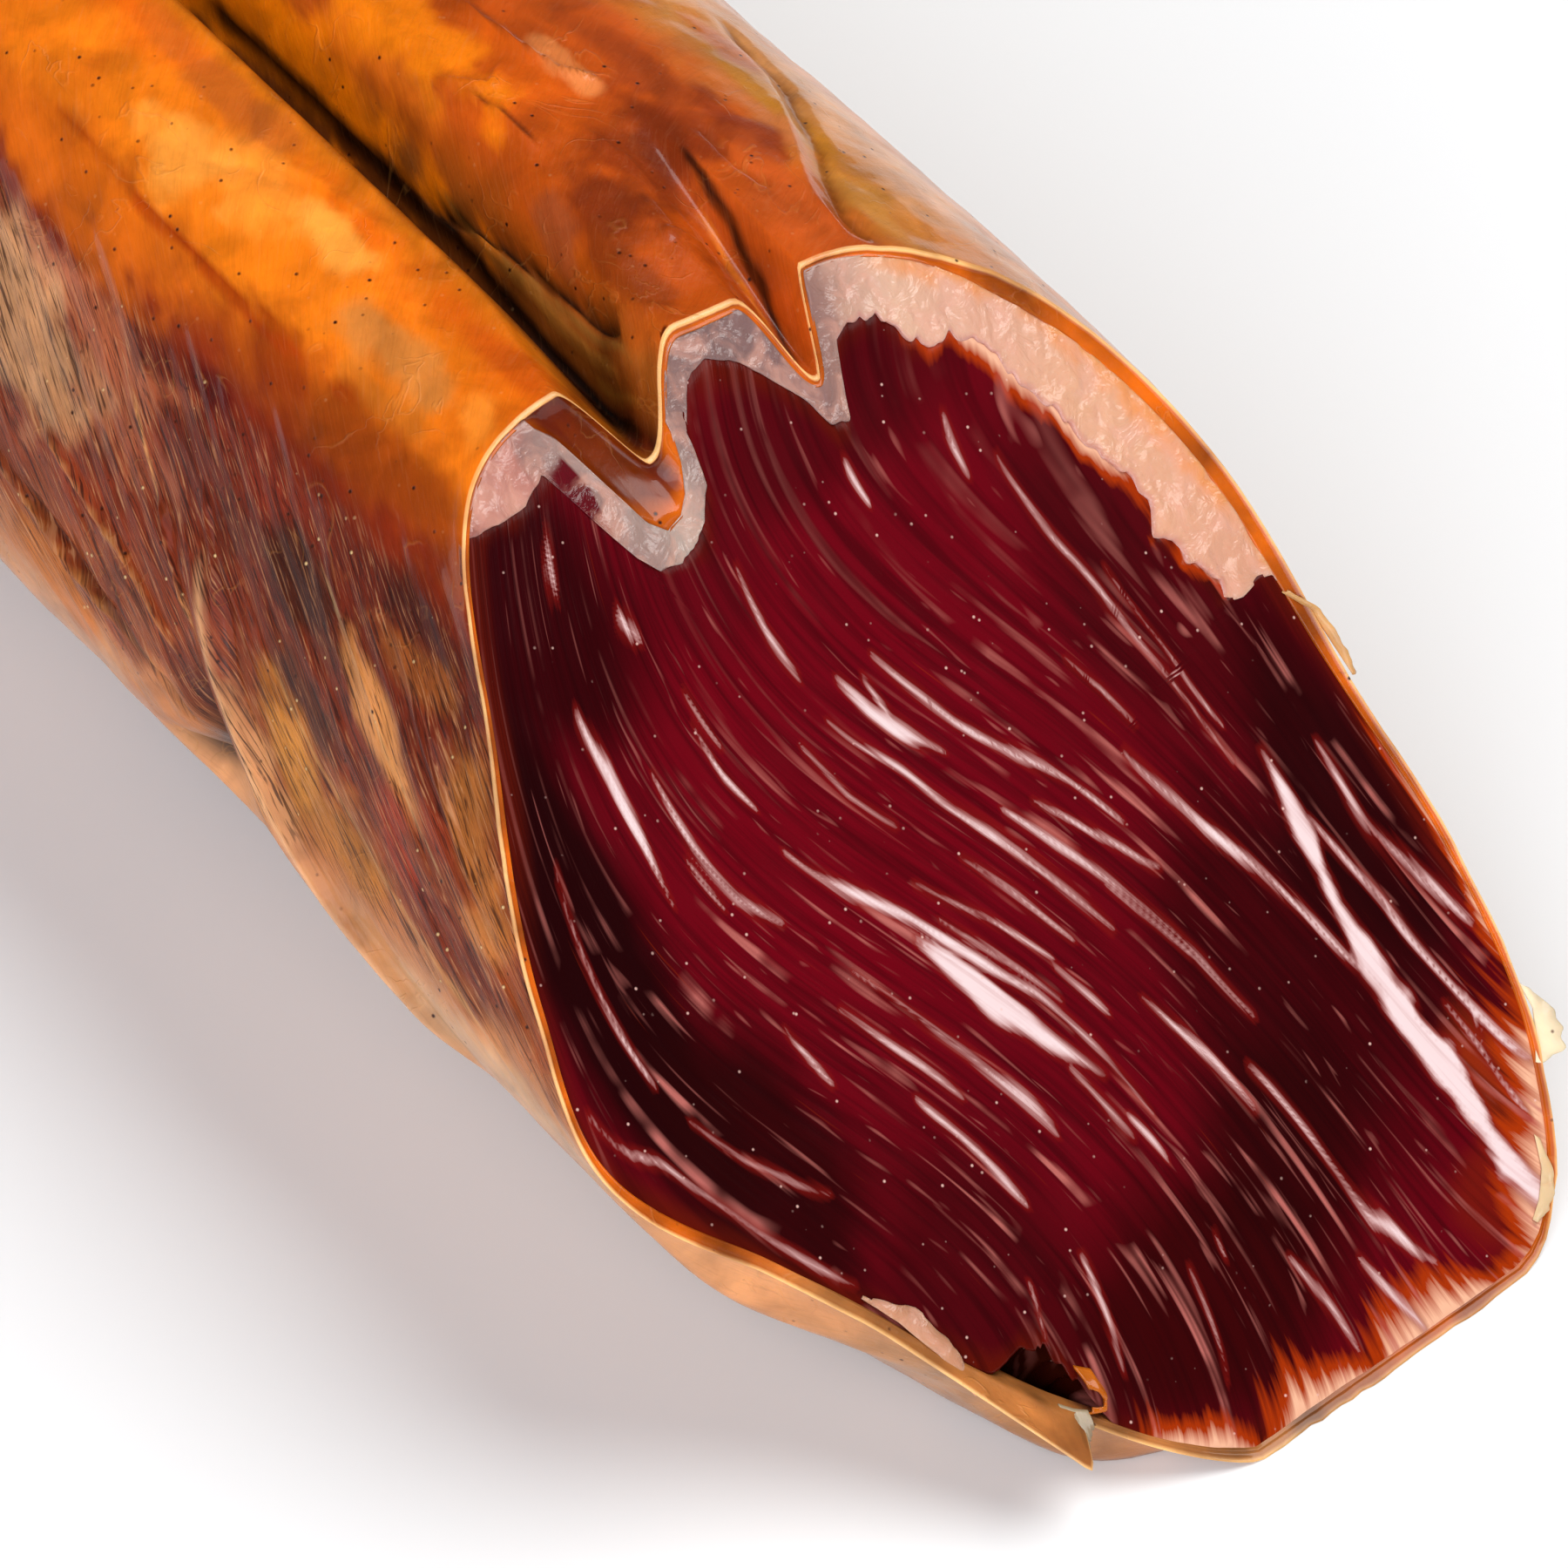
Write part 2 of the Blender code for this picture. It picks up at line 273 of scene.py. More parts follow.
@dataclass(frozen=True)
class LoinForm:
    """The loin's outer form: its sections, creases, slanted cut and round end."""

    length: float = 280 * MM
    mean_length: float = 245 * MM  # from the round end to the cut; spaces the rows
    heart_height: float = 30 * MM
    cut_slant: float = 1.15
    cut_yaw: float = 0.10
    shrink: float = 0.035
    shrink_length: float = 90 * MM
    swelling: float = 0.018
    swelling_length: float = 150 * MM
    fill_out_length: float = 9 * MM
    belly_angle: float = 228.0
    belly_width: float = 34.0
    belly_length: float = 26 * MM
    end_length: float = 50 * MM
    end_power: float = 2.4
    crease_fade: float = 70 * MM
    pleats: int = 9
    pleat_depth: float = 1.1 * MM
    # Room under the casing's furrows, and more of it below the hollow on the left side
    room: float = 1.3 * MM
    room_start: float = 6 * MM
    hollow_room: float = 4 * MM
    hollow_reach: tuple[float, float] = (22 * MM, 90 * MM)
    hollow_fade: float = 10 * MM
    hollow_angle: float = 182.0
    hollow_width: float = 21.0
    hollow_side: float = 8.0
    # Middle of the part's box, from the tip of the round end and from the heart
    middle: tuple[float, float] = (140.75 * MM, -0.361 * MM)
    # Angle in degrees, and the radius at the cut and behind it in millimetres
    section: tuple[tuple[float, float, float], ...] = (
        (0, 36.4, 36.8),
        (20, 36.8, 36.9),
        (42, 36.2, 36.4),
        (62, 34.4, 34.8),
        (84, 32.0, 32.8),
        (106, 33.9, 34.0),
        (127, 38.4, 38.0),
        (148, 36.8, 37.2),
        (168, 38.2, 38.0),
        (181, 38.8, 38.4),
        (197, 31.2, 35.4),
        (214, 27.4, 33.2),
        (240, 26.4, 33.2),
        (271, 30.2, 31.2),
        (300, 34.8, 35.2),
        (316, 41.8, 40.6),
        (331, 42.2, 41.6),
        (345, 39.4, 39.6),
    )
    main_crease: Crease = Crease(107.5, 4.5, 15.0, 5.4 * MM, 9.0 * MM, 14 * MM, -3.0)
    short_crease: Crease = Crease(74.5, 9.0, 2.4, 5.4 * MM, 0.0, 20 * MM)

    @property
    def creases(self) -> tuple[Crease, Crease]:
        """Both furrows along the top."""
        return self.main_crease, self.short_crease

    def rays(self, angle: np.ndarray) -> np.ndarray:
        """Directions (y, z) from the heart at the angles."""
        return np.stack((np.cos(np.radians(angle)), np.sin(np.radians(angle))), -1)

    def cut_radius(self, angle: np.ndarray) -> np.ndarray:
        """Radius at the cut without the creases."""
        knots, at_cut, _ = table_columns(self.section)
        return closed_curve(angle % 360.0, knots, at_cut * MM)

    def length_to_cut(self, section: np.ndarray) -> np.ndarray:
        """Length from the round end to the cut, at points (y, z) from the heart."""
        foot = self.length - self.cut_slant * self.heart_height
        return foot - self.cut_slant * section[..., 1] - self.cut_yaw * section[..., 0]

    def lengths(self, angle: np.ndarray) -> np.ndarray:
        """Length from the round end to the cut along the casing at the angles."""
        return self.length_to_cut(self.rays(angle) * self.cut_radius(angle)[:, None])

    def share_of(self, behind: float) -> float:
        """Share of the way from the round end to the cut, for mean metres behind the cut."""
        return 1.0 - behind / self.mean_length

    def ring(self, angle: np.ndarray, share: float) -> np.ndarray:
        """Outer radius at the angles, on the ring at a share of the way to the cut."""
        length = self.lengths(angle)
        return self.radius(angle, (1 - share) * length, share * length)

    def radius(self, angle: np.ndarray, behind: np.ndarray, from_end: np.ndarray) -> np.ndarray:
        """Radius of the casing's outer surface.

        Args:
            angle: degrees round the heart.
            behind: distance behind the cut.
            from_end: distance from the round end.

        Returns:
            The radius for each place, before the underside is flattened.
        """
        knots, at_cut, body = table_columns(self.section)
        front = closed_curve(angle % 360.0, knots, at_cut * MM)
        back = closed_curve(angle % 360.0, knots, body * MM)
        filled = ease(behind / self.fill_out_length)
        belly = ease(1.0 - np.abs(turn_between(angle, self.belly_angle)) / self.belly_width)
        slowly = 1.0 - (1.0 - np.clip(behind / self.belly_length, 0.0, 1.0)) ** 1.6
        radius = front + (back - front) * (filled + belly * (slowly - filled))
        kept = ease(from_end / self.crease_fade)
        for crease in self.creases:
            radius = radius - kept * crease.depth(behind) * crease.share(angle, behind)
        radius = radius * (1.0 - self.shrink * ease(behind / self.shrink_length))
        hidden = np.maximum(behind - self.shrink_length, 0.0)
        radius = radius * (1.0 + self.swelling * np.sin(math.tau * hidden / self.swelling_length))
        ended = np.clip(1.0 - from_end / self.end_length, 0.0, 1.0)
        pleat = self.pleat_depth * np.sin(math.pi * ended) ** 2
        radius = radius - pleat * (0.5 - 0.5 * np.cos(self.pleats * np.radians(angle)))
        return radius * (1.0 - ended**self.end_power) ** (1.0 / self.end_power)

    def fold_room(self, angle: np.ndarray, behind: float) -> np.ndarray:
        """Room that the casing's furrows take from what lies under it."""
        first, last = self.hollow_reach
        lengthwise = ease((behind - first) / self.hollow_fade) * ease((last - behind) / self.hollow_fade)
        turn = np.abs(angle - self.hollow_angle)
        deep = self.hollow_room * lengthwise * ease((self.hollow_width - turn) / self.hollow_side)
        return deep + self.room * ease(behind / self.room_start)

    def on_floor(self, radius: np.ndarray, ray: np.ndarray, height: float = 0.0) -> np.ndarray:
        """Keep a radius from reaching below a height over the floor."""
        falling = np.minimum(ray[..., 1], -1e-6)
        limit = np.where(ray[..., 1] < 0, (height - self.heart_height) / falling, np.inf)
        return np.minimum(radius, limit)

    def place(self, section: np.ndarray, along: np.ndarray, forward: np.ndarray) -> np.ndarray:
        """Give points (y, z) from the heart their place in the part's frame.

        Args:
            section: points (y, z) from the heart.
            along: share of the way from the round end to the cut.
            forward: what is added towards +X.

        Returns:
            Points (x, y, z) in the part's frame.
        """
        x = along * self.length_to_cut(section) + forward - self.middle[0]
        y = section[..., 0] - self.middle[1]
        return np.stack((x, y, section[..., 1] + self.heart_height), -1)


@dataclass(frozen=True)
class CutOutlines:
    """Outlines of the layers on the cut face, as radii at evenly spaced angles.

    The knots are degrees and millimetres from the heart.
    """

    form: LoinForm
    casing_thickness: tuple[tuple[float, float], ...] = (
        (0, 0.9),
        (10, 1.4),
        (45, 1.4),
        (56, 0.7),
        (68, 0.55),
        (90, 0.8),
        (120, 0.55),
        (140, 0.6),
        (160, 0.65),
        (185, 0.85),
        (215, 0.7),
        (232, 0.5),
        (244, 0.5),
        (256, 0.5),
        (270, 0.42),
        (330, 0.45),
        (345, 0.6),
        (360, 0.9),
    )
    # Wall of the casing that is folded up in the main crease
    fold_wall: tuple[tuple[float, float], ...] = (
        (101.5, 28.4),
        (103.5, 26.7),
        (105.5, 25.8),
        (108.6, 25.3),
        (112.4, 25.6),
        (114.2, 26.9),
        (115.0, 30.0),
        (115.8, 33.6),
        (117.0, 35.2),
    )
    fat_edge: tuple[tuple[float, float], ...] = (
        (9.0, 35.5),
        (9.9, 34.6),
        (11.1, 30.1),
        (13.3, 30.9),
        (17.4, 29.8),
        (21.9, 29.0),
        (23.8, 30.3),
        (31.8, 30.1),
        (37.5, 30.3),
        (42.2, 30.5),
        (48.7, 31.5),
        (53.8, 30.1),
        (61.5, 30.2),
        (67.3, 30.0),
        (69.6, 28.9),
        (70.3, 26.6),
        (70.9, 24.9),
        (74.6, 24.7),
        (77.9, 26.2),
        (82.5, 27.6),
        (86.5, 29.0),
        (91.0, 29.9),
        (95.0, 29.6),
        (98.6, 28.0),
        (101.7, 25.2),
        (105.9, 24.1),
        (109.6, 23.9),
        (114.0, 24.2),
        (117.8, 25.2),
        (119.0, 26.8),
        (119.5, 29.0),
        (119.9, 33.9),
        (124.2, 34.4),
        (127.0, 35.6),
        (130.0, 37.2),
        (131.0, 38.0),
    )
    fray: float = 0.35 * MM
    fray_width: float = 1.6  # degrees
    count: int = 2880

    @property
    def angle(self) -> np.ndarray:
        """The angles that the radii are worked out at."""
        return np.arange(self.count) * 360.0 / self.count

    @property
    def fat_range(self) -> tuple[float, float]:
        """First and last angle of the fat."""
        return self.fat_edge[0][0], self.fat_edge[-1][0]

    def outer(self) -> np.ndarray:
        """Radii of the casing's outer edge."""
        angle = self.angle
        radius = self.form.radius(angle, np.zeros(self.count), np.full(self.count, 0.2))
        return self.form.on_floor(radius, self.form.rays(angle))

    def set_in(self, depth: np.ndarray) -> np.ndarray:
        """Move the outer edge in along its rays until it is a true depth inside.

        Args:
            depth: wanted distance from the outer edge at each angle.

        Returns:
            The radii of the inner outline.
        """
        ray = self.form.rays(self.angle)
        outline = ray * self.outer()[:, None]
        tree = KDTree(self.count * 4)
        for part in range(4):
            between = outline + (np.roll(outline, -1, axis=0) - outline) * part / 4
            for index, (y, z) in enumerate(between):
                tree.insert((y, z, 0.0), index)
        tree.balance()
        radii = self.outer()
        for index, wanted in enumerate(depth):
            low, high = 0.2 * radii[index], radii[index]
            for _ in range(14):
                middle = 0.5 * (low + high)
                y, z = ray[index] * middle
                deep = tree.find((y, z, 0.0))[2] > wanted
                low, high = (middle, high) if deep else (low, middle)
            radii[index] = low
        return radii

    @cached_property
    def casing_inner(self) -> np.ndarray:
        """Radii of the casing's inner wall, with its folds at the bottom of the creases."""
        knots, depth = table_columns(self.casing_thickness)
        inner = self.set_in(np.interp(self.angle, knots, depth * MM))
        knots, wall = table_columns(self.fold_wall)
        wall = np.interp(self.angle, knots, wall * MM, left=1.0, right=1.0)
        return np.minimum(inner, wall)

    @cached_property
    def fat_inner(self) -> np.ndarray:
        """Radii of the fat's inner edge, or of the casing's inner wall where there is none."""
        knots, edge = table_columns(self.fat_edge)
        edge = np.interp(self.angle, knots, edge * MM, left=1.0, right=1.0)
        points = np.stack((self.angle / self.fray_width, np.zeros(self.count)), -1)
        cap = ease((self.angle - 10) / 6) * ease((68 - self.angle) / 6)
        edge = edge + self.fray * (0.25 + 1.3 * cap) * soft_noise(points, 1.0, seed=31, octaves=2)
        return np.minimum(edge, self.casing_inner)


def read_round(angle: np.ndarray, values: np.ndarray, spread: float = 0.0) -> np.ndarray:
    """Read evenly spaced values round the heart.

    Args:
        angle: degrees to read at.
        values: the values, from 0 degrees round.
        spread: how many degrees to each side the largest value is taken from.

    Returns:
        The values at the angles.
    """
    steps = int(round(spread * len(values) / 360.0))
    values = np.max([np.roll(values, step) for step in range(-steps, steps + 1)], axis=0)
    knots = np.arange(len(values) + 1) * 360.0 / len(values)
    return np.interp(angle % 360.0, knots, np.append(values, values[0]))


# Paint


@dataclass(frozen=True)
class Dab:
    """A soft-edged patch of colour, in the coordinates of what it is painted on."""

    first: float
    second: float
    half_first: float
    half_second: float
    colour: str
    strength: float = 1.0
    slant: float = 0.0

    def share(self, first: np.ndarray, second: np.ndarray, ragged: np.ndarray) -> np.ndarray:
        """How much of the patch's colour each place gets."""
        along = (first - self.first) / self.half_first
        across = (second - self.second - self.slant * (first - self.first)) / self.half_second
        reach = np.hypot(along, across) + 0.5 * ragged
        return self.strength * ease((1.3 - reach) / 0.75)


def paint(
    base: np.ndarray, dabs: tuple[Dab, ...], first: np.ndarray, second: np.ndarray, ragged: np.ndarray
) -> np.ndarray:
    """Lay dabs over a base colour in their order.

    Args:
        base: linear colours.
        dabs: the patches.
        first: first coordinate of each place.
        second: second coordinate of each place.
        ragged: noise that frays the patches' edges.

    Returns:
        The painted linear colours.
    """
    for dab in dabs:
        base = lay(base, dab.share(first, second, ragged), dab.colour)
    return base


def read_bands(angle: np.ndarray, bands: tuple[tuple[float, str], ...]) -> np.ndarray:
    """Read linear colours between bands, each an angle in degrees and a hex colour."""
    knots = np.array([knot for knot, _ in bands], float)
    colours = np.array([linear_colour(code) for _, code in bands])
    return np.stack([np.interp(angle, knots, colours[:, part]) for part in range(3)], -1)


# Mesh tools


def add_sheet(name: str, rows: int, columns: int) -> tuple[bpy.types.Object, np.ndarray, np.ndarray]:
    """Add a grid primitive that is then bent into a sheet of rows and columns of points.

    Args:
        name: the piece's name.
        rows: points along the sheet.
        columns: points across it.

    Returns:
        The object, and the row and column of each of its vertices.
    """
    bpy.ops.object.select_all(action="DESELECT")
    bpy.ops.mesh.primitive_grid_add(x_subdivisions=columns - 1, y_subdivisions=rows - 1, size=1.0)
    piece = bpy.context.object
    piece.name = piece.data.name = name
    flat = np.empty(len(piece.data.vertices) * 3, np.float32)
    piece.data.vertices.foreach_get("co", flat)
    flat = flat.reshape(-1, 3)
    column = np.rint((flat[:, 0] + 0.5) * (columns - 1)).astype(int)
    row = np.rint((flat[:, 1] + 0.5) * (rows - 1)).astype(int)
    return piece, row, column


def bend_sheet(piece: bpy.types.Object, points: np.ndarray) -> None:
    """Move the vertices of a sheet to their places."""
    piece.data.vertices.foreach_set("co", points.astype(np.float32).ravel())
    piece.data.update()


def set_value(piece: bpy.types.Object, attribute: Attribute, values: np.ndarray) -> None:
    """Store a number or a linear colour for each vertex."""
    if values.ndim == 1:
        layer = piece.data.attributes.new(attribute.value, "FLOAT", "POINT")
        layer.data.foreach_set("value", values.astype(np.float32))
        return
    layer = piece.data.color_attributes.new(attribute.value, "FLOAT_COLOR", "POINT")
    colours = np.concatenate((values, np.ones((len(values), 1))), 1)
    layer.data.foreach_set("color", np.clip(colours, 0.0, 1.0).astype(np.float32).ravel())


def set_map(piece: bpy.types.Object, attribute: Attribute, places: np.ndarray) -> None:
    """Store a UV map from a pair of numbers for each vertex."""
    while piece.data.uv_layers:
        piece.data.uv_layers.remove(piece.data.uv_layers[0])
    layer = piece.data.uv_layers.new(name=attribute.value)
    vertex = np.empty(len(piece.data.loops), np.int32)
    piece.data.loops.foreach_get("vertex_index", vertex)
    layer.uv.foreach_set("vector", places[vertex].astype(np.float32).ravel())


def close_sheet(piece: bpy.types.Object, fill_ends: bool = False) -> None:
    """Merge a sheet's seam and poles, close open ends and turn its faces outwards.

    Args:
        piece: the sheet.
        fill_ends: whether open edges get a face.
    """
    bpy.ops.object.select_all(action="DESELECT")
    bpy.context.view_layer.objects.active = piece
    piece.select_set(True)
    bpy.ops.object.mode_set(mode="EDIT")
    bpy.ops.mesh.select_all(action="SELECT")
    bpy.ops.mesh.remove_doubles(threshold=0.002 * MM)
    if fill_ends:
        bpy.ops.mesh.select_all(action="DESELECT")
        bpy.ops.mesh.select_mode(type="EDGE")
        bpy.ops.mesh.select_non_manifold(use_wire=False, use_multi_face=False, use_verts=False)
        bpy.ops.mesh.fill_holes(sides=0)
    bpy.ops.mesh.select_all(action="SELECT")
    bpy.ops.mesh.normals_make_consistent(inside=False)
    bpy.ops.object.mode_set(mode="OBJECT")
    bpy.ops.object.shade_smooth()


# Materials


def add_node(
    tree: Tree, kind: str, inputs: dict | None = None, output: str | None = None, **settings
) -> Socket:
    """Add a node with its settings and links.

    Args:
        tree: the node tree.
        kind: Blender's name of the node's type.
        inputs: a value or a linked socket for each named or numbered input.
        output: name of the output that is wanted, or None for the first one in use.
        settings: the node's own properties.

    Returns:
        The wanted output socket, or the node itself where it has none.
    """
    node = tree.nodes.new(kind)
    for name, value in settings.items():
        setattr(node, name, value)
    for key, value in (inputs or {}).items():
        if isinstance(value, Socket):
            tree.links.new(value, node.inputs[key])
        else:
            node.inputs[key].default_value = value
    if output is not None:
        return node.outputs[output]
    return next((socket for socket in node.outputs if socket.enabled), node)


def new_material(name: str) -> tuple[bpy.types.Material, Tree]:
    """Make an empty material and give its node tree."""
    material = bpy.data.materials.new(name)
    material.use_nodes = True
    material.node_tree.nodes.clear()
    return material, material.node_tree


def stretch(tree: Tree, places: Socket, length: float, width: float) -> Socket:
    """Count places in cells of a length and a width, in metres."""
    scale = (1.0 / length, 1.0 / width, 1.0)
    return add_node(tree, "ShaderNodeMapping", {"Vector": places, "Scale": scale})


def cloud(
    tree: Tree,
    places: Socket,
    size: float,
    detail: float = 2.0,
    roughness: float = 0.5,
    distortion: float = 0.0,
) -> Socket:
    """Add soft noise of about 0.5 whose cells have a size in the unit of the places."""
    inputs = {"Vector": places, "Scale": 1.0 / size, "Detail": detail}
    inputs |= {"Roughness": roughness, "Distortion": distortion}
    return add_node(tree, "ShaderNodeTexNoise", inputs)


def dots(tree: Tree, places: Socket, spacing: float) -> Socket:
    """Add the distance to scattered dots, counted in their mean spacing."""
    return add_node(tree, "ShaderNodeTexVoronoi", {"Vector": places, "Scale": 1.0 / spacing})


def remap(
    tree: Tree, value: Socket, start: float, end: float, low: float = 0.0, high: float = 1.0
) -> Socket:
    """Go from low to high as a value goes from start to end, and stay there beyond."""
    return add_node(tree, "ShaderNodeMapRange", {0: value, 1: start, 2: end, 3: low, 4: high})


def multiply(tree: Tree, value: Socket, factor: Socket | float) -> Socket:
    """Multiply two values."""
    return add_node(tree, "ShaderNodeMath", {0: value, 1: factor}, operation="MULTIPLY")


def blend(tree: Tree, share: Socket, colour: Socket, code: str) -> Socket:
    """Mix a colour towards a hex colour."""
    return add_node(tree, "ShaderNodeMix", {0: share, 6: colour, 7: rgba(code)}, data_type="RGBA")


def read_value(tree: Tree, attribute: Attribute, output: str) -> Socket:
    """Read what the mesh tells its material, as a number (Fac) or a colour (Color)."""
    return add_node(tree, "ShaderNodeAttribute", output=output, attribute_name=attribute.value)


def add_bump(
    tree: Tree, height: Socket, strength: float, distance: float, normal: Socket | None = None, **settings
) -> Socket:
    """Add fine relief from a height, over the relief that a normal already has."""
    inputs = {"Height": height, "Strength": strength, "Distance": distance}
    if normal is not None:
        inputs["Normal"] = normal
    return add_node(tree, "ShaderNodeBump", inputs, **settings)


def add_surface(tree: Tree, inputs: dict) -> None:
    """Add the material's shader and its output."""
    shader = add_node(tree, "ShaderNodeBsdfPrincipled", inputs)
    add_node(tree, "ShaderNodeOutputMaterial", {"Surface": shader})


@dataclass(frozen=True)
class DriedCasing:
    """Dried natural casing: a thin gut membrane over fat and meat, oiled and semi-glossy."""

    name: str = "dried_natural_casing"
    roughness: float = 0.36
    ior: float = 1.45
    specular: float = 0.12
    coat: float = 0.5
    coat_roughness: float = 0.1
    scatter: float = 0.12
    scatter_depth: float = 1.2 * MM
    pore_spacing: float = 1.6 * MM
    pore_width: float = 0.28 * MM
    bubble_glint_spacing: float = 2.1 * MM
    fibre_length: float = 3.4 * MM
    fibre_width: float = 0.5 * MM
    fibre_turn: float = 124.0  # degrees from the loin's axis
    mottle_size: float = 5.0 * MM
    wrinkle_size: float = 1.1 * MM
    pore_colour: str = "#3a1406"
    dark_fibre: str = "#2e0e08"
    pale_fibre: str = "#c4875a"
    # pale colour of the bubbles: painted glints
    bubble_glint: str = "#f2c88c"
    # pale tint on the membrane's fine folds: painted highlight
    fold_highlight: str = "#f0a050"
    wrinkle_spacing: float = 8.0 * MM

    def material(self) -> bpy.types.Material:
        """Build the node material."""
        material, tree = new_material(self.name)
        place = add_node(tree, "ShaderNodeTexCoord", output="Object")
        painted = read_value(tree, Attribute.PAINT, "Color")
        fibrous = read_value(tree, Attribute.FIBRE, "Fac")
        skin = add_node(tree, "ShaderNodeUVMap", uv_map=Attribute.SKIN_MAP.value)
        # Uneven amber depth of the membrane
        mottle = cloud(tree, place, self.mottle_size, detail=4.0, distortion=0.6)
        shade = remap(tree, mottle, 0.3, 0.7, 0.72, 1.22)
        colour = add_node(
            tree, "ShaderNodeMix", {0: 1.0, 6: painted, 7: shade}, data_type="RGBA", blend_type="MULTIPLY"
        )
        # Muscle fibres that show through on the side
        turn = (0.0, 0.0, -math.radians(self.fibre_turn))
        turned = add_node(tree, "ShaderNodeMapping", {"Vector": skin, "Rotation": turn})
        stretched = stretch(tree, turned, self.fibre_length, self.fibre_width)
        fibre = cloud(tree, stretched, 1.0, detail=3.0, distortion=1.6)
        dark = remap(tree, fibre, 0.48, 0.36, 0.0, 0.8)
        dark = multiply(tree, dark, fibrous)
        colour = blend(tree, dark, colour, self.dark_fibre)
        pale = remap(tree, fibre, 0.56, 0.70, 0.0, 0.65)
        pale = multiply(tree, pale, fibrous)
        colour = blend(tree, pale, colour, self.pale_fibre)
        # Pores, dark and slightly sunk
        pore = dots(tree, place, self.pore_spacing)
        ratio = self.pore_width / self.pore_spacing
        pore = remap(tree, pore, 0.75 * ratio, 0.3 * ratio)
        hidden = cloud(tree, place, self.pore_spacing * 2.2)
        hidden = remap(tree, hidden, 0.44, 0.52)
        pore = multiply(tree, pore, hidden)
        colour = blend(tree, pore, colour, self.pore_colour)
        # Tiny raised bubbles, painted pale as glints, mostly on the side
        bubble_glint = dots(tree, place, self.bubble_glint_spacing)
        bubble_glint = remap(tree, bubble_glint, 0.09, 0.04, 0.0, 0.8)
        bubble_glint = multiply(tree, bubble_glint, fibrous)
        colour = blend(tree, bubble_glint, colour, self.bubble_glint)
        # Fine folds of the membrane, as thin lines in places, tinted pale as painted highlights
        line = cloud(tree, place, self.wrinkle_spacing, detail=3.0, distortion=1.2)
        line = add_node(tree, "ShaderNodeMath", {0: line, 1: 0.5}, operation="SUBTRACT")
        line = add_node(tree, "ShaderNodeMath", {0: line}, operation="ABSOLUTE")
        line = remap(tree, line, 0.016, 0.0)
        some = cloud(tree, place, self.wrinkle_spacing * 0.8)
        some = remap(tree, some, 0.5, 0.62)
        line = multiply(tree, line, some)
        highlight_tint = multiply(tree, line, 0.12)
        colour = blend(tree, highlight_tint, colour, self.fold_highlight)
        # Fine relief
        wrinkle = cloud(tree, place, self.wrinkle_size, detail=5.0, roughness=0.6)
        bump = add_bump(tree, wrinkle, 0.3, 0.3 * MM)
        streaks = multiply(tree, fibre, fibrous)
        bump = add_bump(tree, streaks, 0.7, 0.4 * MM, bump)
        bump = add_bump(tree, line, 0.4, 0.2 * MM, bump)
        bump = add_bump(tree, bubble_glint, 0.8, 0.2 * MM, bump)
        bump = add_bump(tree, pore, 0.5, 0.15 * MM, bump, invert=True)
        gloss = remap(tree, fibrous, 0.0, 1.0, self.coat, 0.45 * self.coat)
        add_surface(
            tree,
            {
                "Base Color": colour,
                "Roughness": self.roughness,
                "IOR": self.ior,
                "Specular IOR Level": self.specular,
                "Subsurface Weight": self.scatter,
                "Subsurface Radius": (1.0, 0.30, 0.08),
                "Subsurface Scale": self.scatter_depth,
                "Coat Weight": gloss,
                "Coat Roughness": self.coat_roughness,
                "Normal": bump,
            },
        )
        return material


